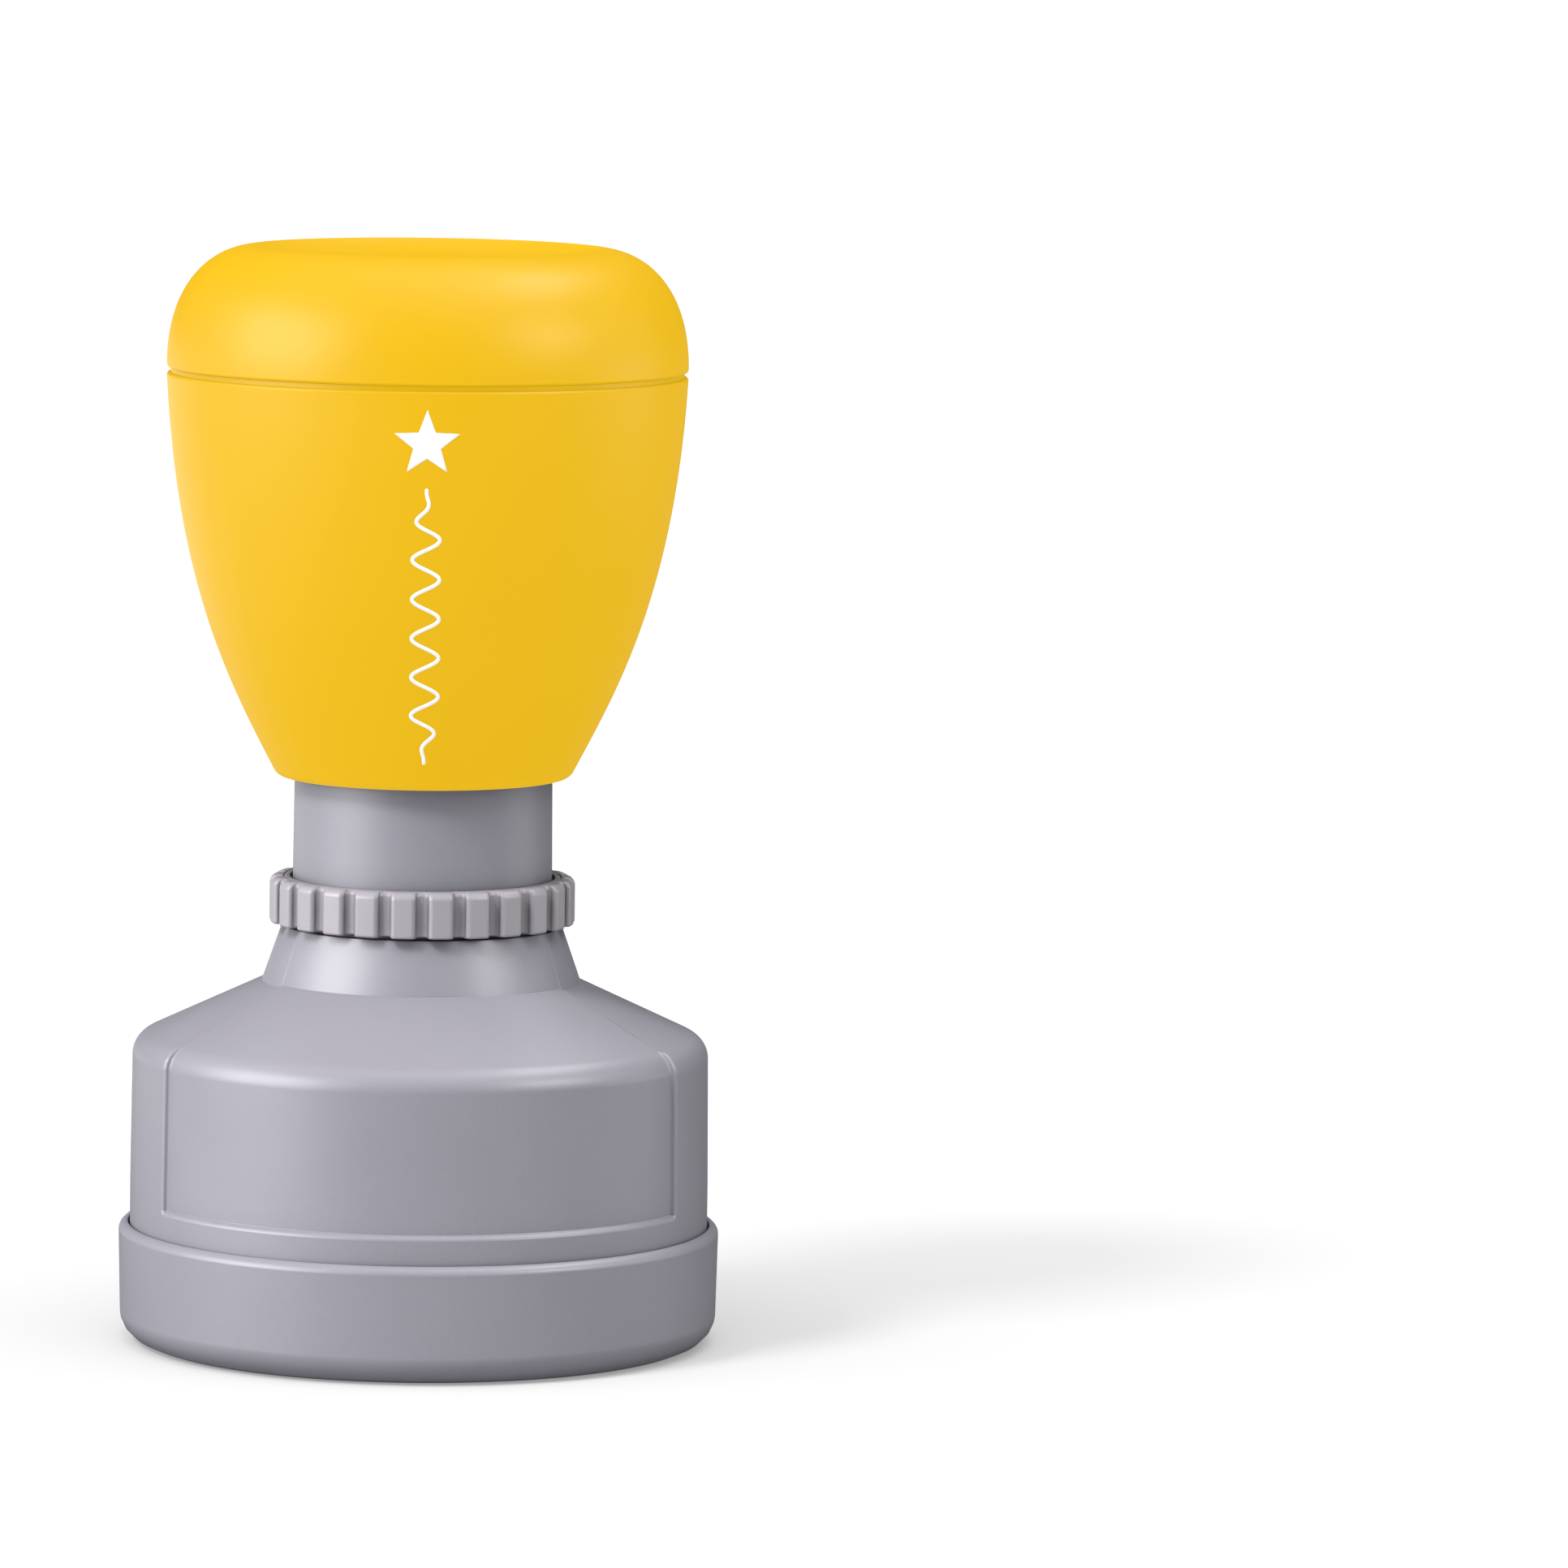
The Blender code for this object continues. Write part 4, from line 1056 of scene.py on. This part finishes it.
def screw_bm(length):
    """Pan-head screw with a cross recess, its origin under the head on its axis."""
    outline = rounded([
        (0, -length),
        (SCREW_SHANK_RADIUS * 0.5, -length),
        (SCREW_SHANK_RADIUS, -length + 0.8),
        (SCREW_SHANK_RADIUS, 0),
        (SCREW_HEAD_RADIUS, 0, 0.1),
        (SCREW_HEAD_RADIUS, SCREW_HEAD_HEIGHT, 0.8),
        (0, SCREW_HEAD_HEIGHT),
    ])
    bm = turned_mesh(outline, SCREW_SEGMENTS)
    reach, half = SCREW_RECESS_REACH, SCREW_RECESS_HALF
    cross = []
    for quarter in range(4):
        turn = Matrix.Rotation(quarter * math.pi / 2, 2)
        cross += [turn @ Vector(spot) for spot in ((half, half), (half, reach), (-half, reach))]
    recess = prism_mesh(cross, SCREW_HEAD_HEIGHT - SCREW_RECESS_DEPTH, SCREW_HEAD_HEIGHT + 1)
    return combined_mesh(bm, recess, "DIFFERENCE")


def build_screws(steel):
    for node in sorted(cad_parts):
        if "_screw_" not in node:
            continue
        low, high = BOXES[node]
        height = (high.z - low.z) / MM
        bm = screw_bm(height - SCREW_HEAD_HEIGHT)
        spot = Vector(((low.x + high.x) / 2, (low.y + high.y) / 2,
                       high.z - SCREW_HEAD_HEIGHT * MM))
        bmesh.ops.translate(bm, verts=bm.verts, vec=spot)
        finished_piece(node.replace("_screw_", "_pan_screw_"), bm, "handle", steel,
                       [node], weighted=False)


# ---------------------------------------------------------------- studio

def build_floor():
    """White floor that glows a little; its reflection in the right side of the stamp is dimmer.

    Seen from below it is clear, so that the underside of the stamp shows."""
    material = bpy.data.materials.new("studio_floor")
    material.use_nodes = True
    tree = material.node_tree
    surface = tree.nodes["Principled BSDF"]
    place = add(tree, "SeparateXYZ", {"Vector": add(tree, "TexCoord").outputs["Object"]})
    to_right = add(tree, "MapRange", {"Value": place.outputs["X"],
                                      "From Min": FLOOR_DIMMING_X[0],
                                      "From Max": FLOOR_DIMMING_X[1]},
                   interpolation_type="SMOOTHSTEP")
    reflected = add(tree, "Math", {0: to_right.outputs["Result"],
                                   1: add(tree, "LightPath").outputs["Is Glossy Ray"]},
                    operation="MULTIPLY")
    shade = add(tree, "MapRange", {"Value": reflected.outputs[0], "To Min": 1.0,
                                   "To Max": FLOOR_REFLECTED_RIGHT}).outputs["Result"]
    tint = scaled_colour(tree, FLOOR_COLOUR, shade)
    tree.links.new(tint, surface.inputs["Base Color"])
    tree.links.new(tint, surface.inputs["Emission Color"])
    surface.inputs["Emission Strength"].default_value = FLOOR_GLOW
    surface.inputs["Roughness"].default_value = 0.9
    surface.inputs["Specular IOR Level"].default_value = 0.0
    from_below = add(tree, "Math", {0: add(tree, "NewGeometry").outputs["Backfacing"],
                                    1: add(tree, "LightPath").outputs["Is Camera Ray"]},
                     operation="MULTIPLY")
    clear = add(tree, "BsdfTransparent")
    shown = add(tree, "MixShader", {0: from_below.outputs[0], 1: surface.outputs["BSDF"],
                                    2: clear.outputs["BSDF"]})
    tree.links.new(shown.outputs[0], tree.nodes["Material Output"].inputs["Surface"])
    bm = bmesh.new()
    bmesh.ops.create_grid(bm, x_segments=2, y_segments=2, size=FLOOR_HALF_WIDTH)
    mesh = bpy.data.meshes.new("floor")
    bm.to_mesh(mesh)
    bm.free()
    mesh.materials.append(material)
    floor = bpy.data.objects.new("floor", mesh)
    floor.location.z = -FLOOR_DROP * MM
    bpy.context.collection.objects.link(floor)


def sky_lobe(tree, ray, direction, strength):
    """Soft bright patch of the surroundings round one direction."""
    facing = add(tree, "VectorMath", {0: ray, 1: Vector(direction).normalized()},
                 operation="DOT_PRODUCT")
    front = add(tree, "Math", {0: facing.outputs["Value"], 1: 0.0}, operation="MAXIMUM")
    lobe = add(tree, "Math", {0: front.outputs[0], 1: SKY_LOBE_POWER}, operation="POWER")
    return add(tree, "Math", {0: lobe.outputs[0], 1: strength}, operation="MULTIPLY").outputs[0]


def build_world():
    """Surroundings: bright overhead and on the left, dim elsewhere; plain white to the camera."""
    world = bpy.data.worlds.new("studio")
    bpy.context.scene.world = world
    world.use_nodes = True
    world.cycles.sampling_method = "NONE"
    tree = world.node_tree
    background = tree.nodes["Background"]
    background.inputs["Color"].default_value = (1, 1, 1, 1)
    ray = add(tree, "TexCoord").outputs["Generated"]
    strength = SKY_EVEN
    for direction, power in SKY_LOBES:
        lobe = sky_lobe(tree, ray, direction, power)
        strength = add(tree, "Math", {0: lobe, 1: strength}, operation="ADD").outputs[0]
    path = add(tree, "LightPath")
    in_reflection = add(tree, "MapRange", {"Value": path.outputs["Is Glossy Ray"], "To Min": 1.0,
                                           "To Max": SKY_IN_REFLECTIONS})
    dimmed = add(tree, "Math", {0: strength, 1: in_reflection.outputs["Result"]},
                 operation="MULTIPLY")
    seen = add(tree, "Math", {0: dimmed.outputs[0], 1: path.outputs["Is Camera Ray"]},
               operation="MAXIMUM")
    tree.links.new(seen.outputs[0], background.inputs["Strength"])


def add_softbox(name, direction, width, height, power):
    """Soft rectangular light that only shows as a highlight; it faces the middle of the stamp."""
    light = bpy.data.lights.new(name, "AREA")
    light.shape = "RECTANGLE"
    light.size = width * MM
    light.size_y = height * MM
    light.energy = power
    lamp = bpy.data.objects.new(name, light)
    away = Vector(direction).normalized()
    lamp.location = Vector((0, 0, AIM_Z * MM)) + away * LIGHT_DISTANCE * MM
    lamp.rotation_mode = "QUATERNION"
    lamp.rotation_quaternion = away.to_track_quat("Z", "Y")
    lamp.visible_camera = False
    lamp.visible_diffuse = False
    bpy.context.collection.objects.link(lamp)


def add_sun(name, direction, width_degrees, strength):
    """Even light from one side over the whole floor, with a soft shadow and no highlight."""
    light = bpy.data.lights.new(name, "SUN")
    light.angle = math.radians(width_degrees)
    light.energy = strength
    lamp = bpy.data.objects.new(name, light)
    lamp.rotation_mode = "QUATERNION"
    lamp.rotation_quaternion = Vector(direction).to_track_quat("Z", "Y")
    lamp.visible_glossy = False
    bpy.context.collection.objects.link(lamp)


def build_lights():
    build_world()
    add_sun("key_sun", (-0.505, -0.438, 0.743), 17, 2.3)
    add_softbox("highlight_left", (-0.84, -0.345, 0.3), 800, 640, 15.0)
    add_softbox("highlight_right", (0.749, -0.513, 0.415), 480, 300, 4.5)
    add_softbox("highlight_wide_right", (0.9, 0.0, 0.3), 900, 300, 1.2)
    add_softbox("highlight_top_right", (0.43, 0.1, 0.84), 650, 300, 4.2)
    add_softbox("highlight_low_right", (0.99, 0.1, -0.02), 700, 120, 1.8)


def build_camera():
    """Camera in front of the stamp and a little above it, which leaves room on the right."""
    camera = bpy.data.cameras.new("camera")
    camera.lens = LENS
    camera.clip_start = 0.01
    holder = bpy.data.objects.new("camera", camera)
    place = Vector(CAMERA_PLACE) * MM
    look = (Vector((0, 0, AIM_Z * MM)) - place).to_track_quat("-Z", "Y")
    off_centre = Vector((-math.tan(math.radians(AIM_LEFT_DEGREES)),
                         -math.tan(math.radians(AIM_DOWN_DEGREES)), -1)).normalized()
    swing = off_centre.rotation_difference(Vector((0, 0, -1)))
    roll = Quaternion((0, 0, 1), math.radians(CAMERA_ROLL_DEGREES))
    holder.rotation_mode = "QUATERNION"
    holder.location = place
    holder.rotation_quaternion = look @ roll @ swing
    bpy.context.collection.objects.link(holder)
    bpy.context.scene.camera = holder
    bpy.context.scene.view_settings.view_transform = "Standard"


def build_pieces():
    grey, ring_grey = grey_plastic(), ring_plastic()
    yellow, white = yellow_plastic(), white_print()
    rubber, steel = black_rubber(), drawn_steel()
    build_dust_cap(grey)
    build_housing(grey)
    build_adjusting_ring(ring_grey)
    build_stop_washer(ring_grey)
    build_grip(yellow)
    build_dome(yellow)
    build_print(white)
    build_plunger(grey)
    build_spring_washer(steel)
    build_spring(steel)
    build_plug(rubber)
    build_seal(rubber)
    build_holder(grey)
    build_die_ring(grey)
    build_pad(ink_felt())
    build_die(ink_foam())
    build_screws(steel)


build_pieces()
build_floor()
build_lights()
build_camera()
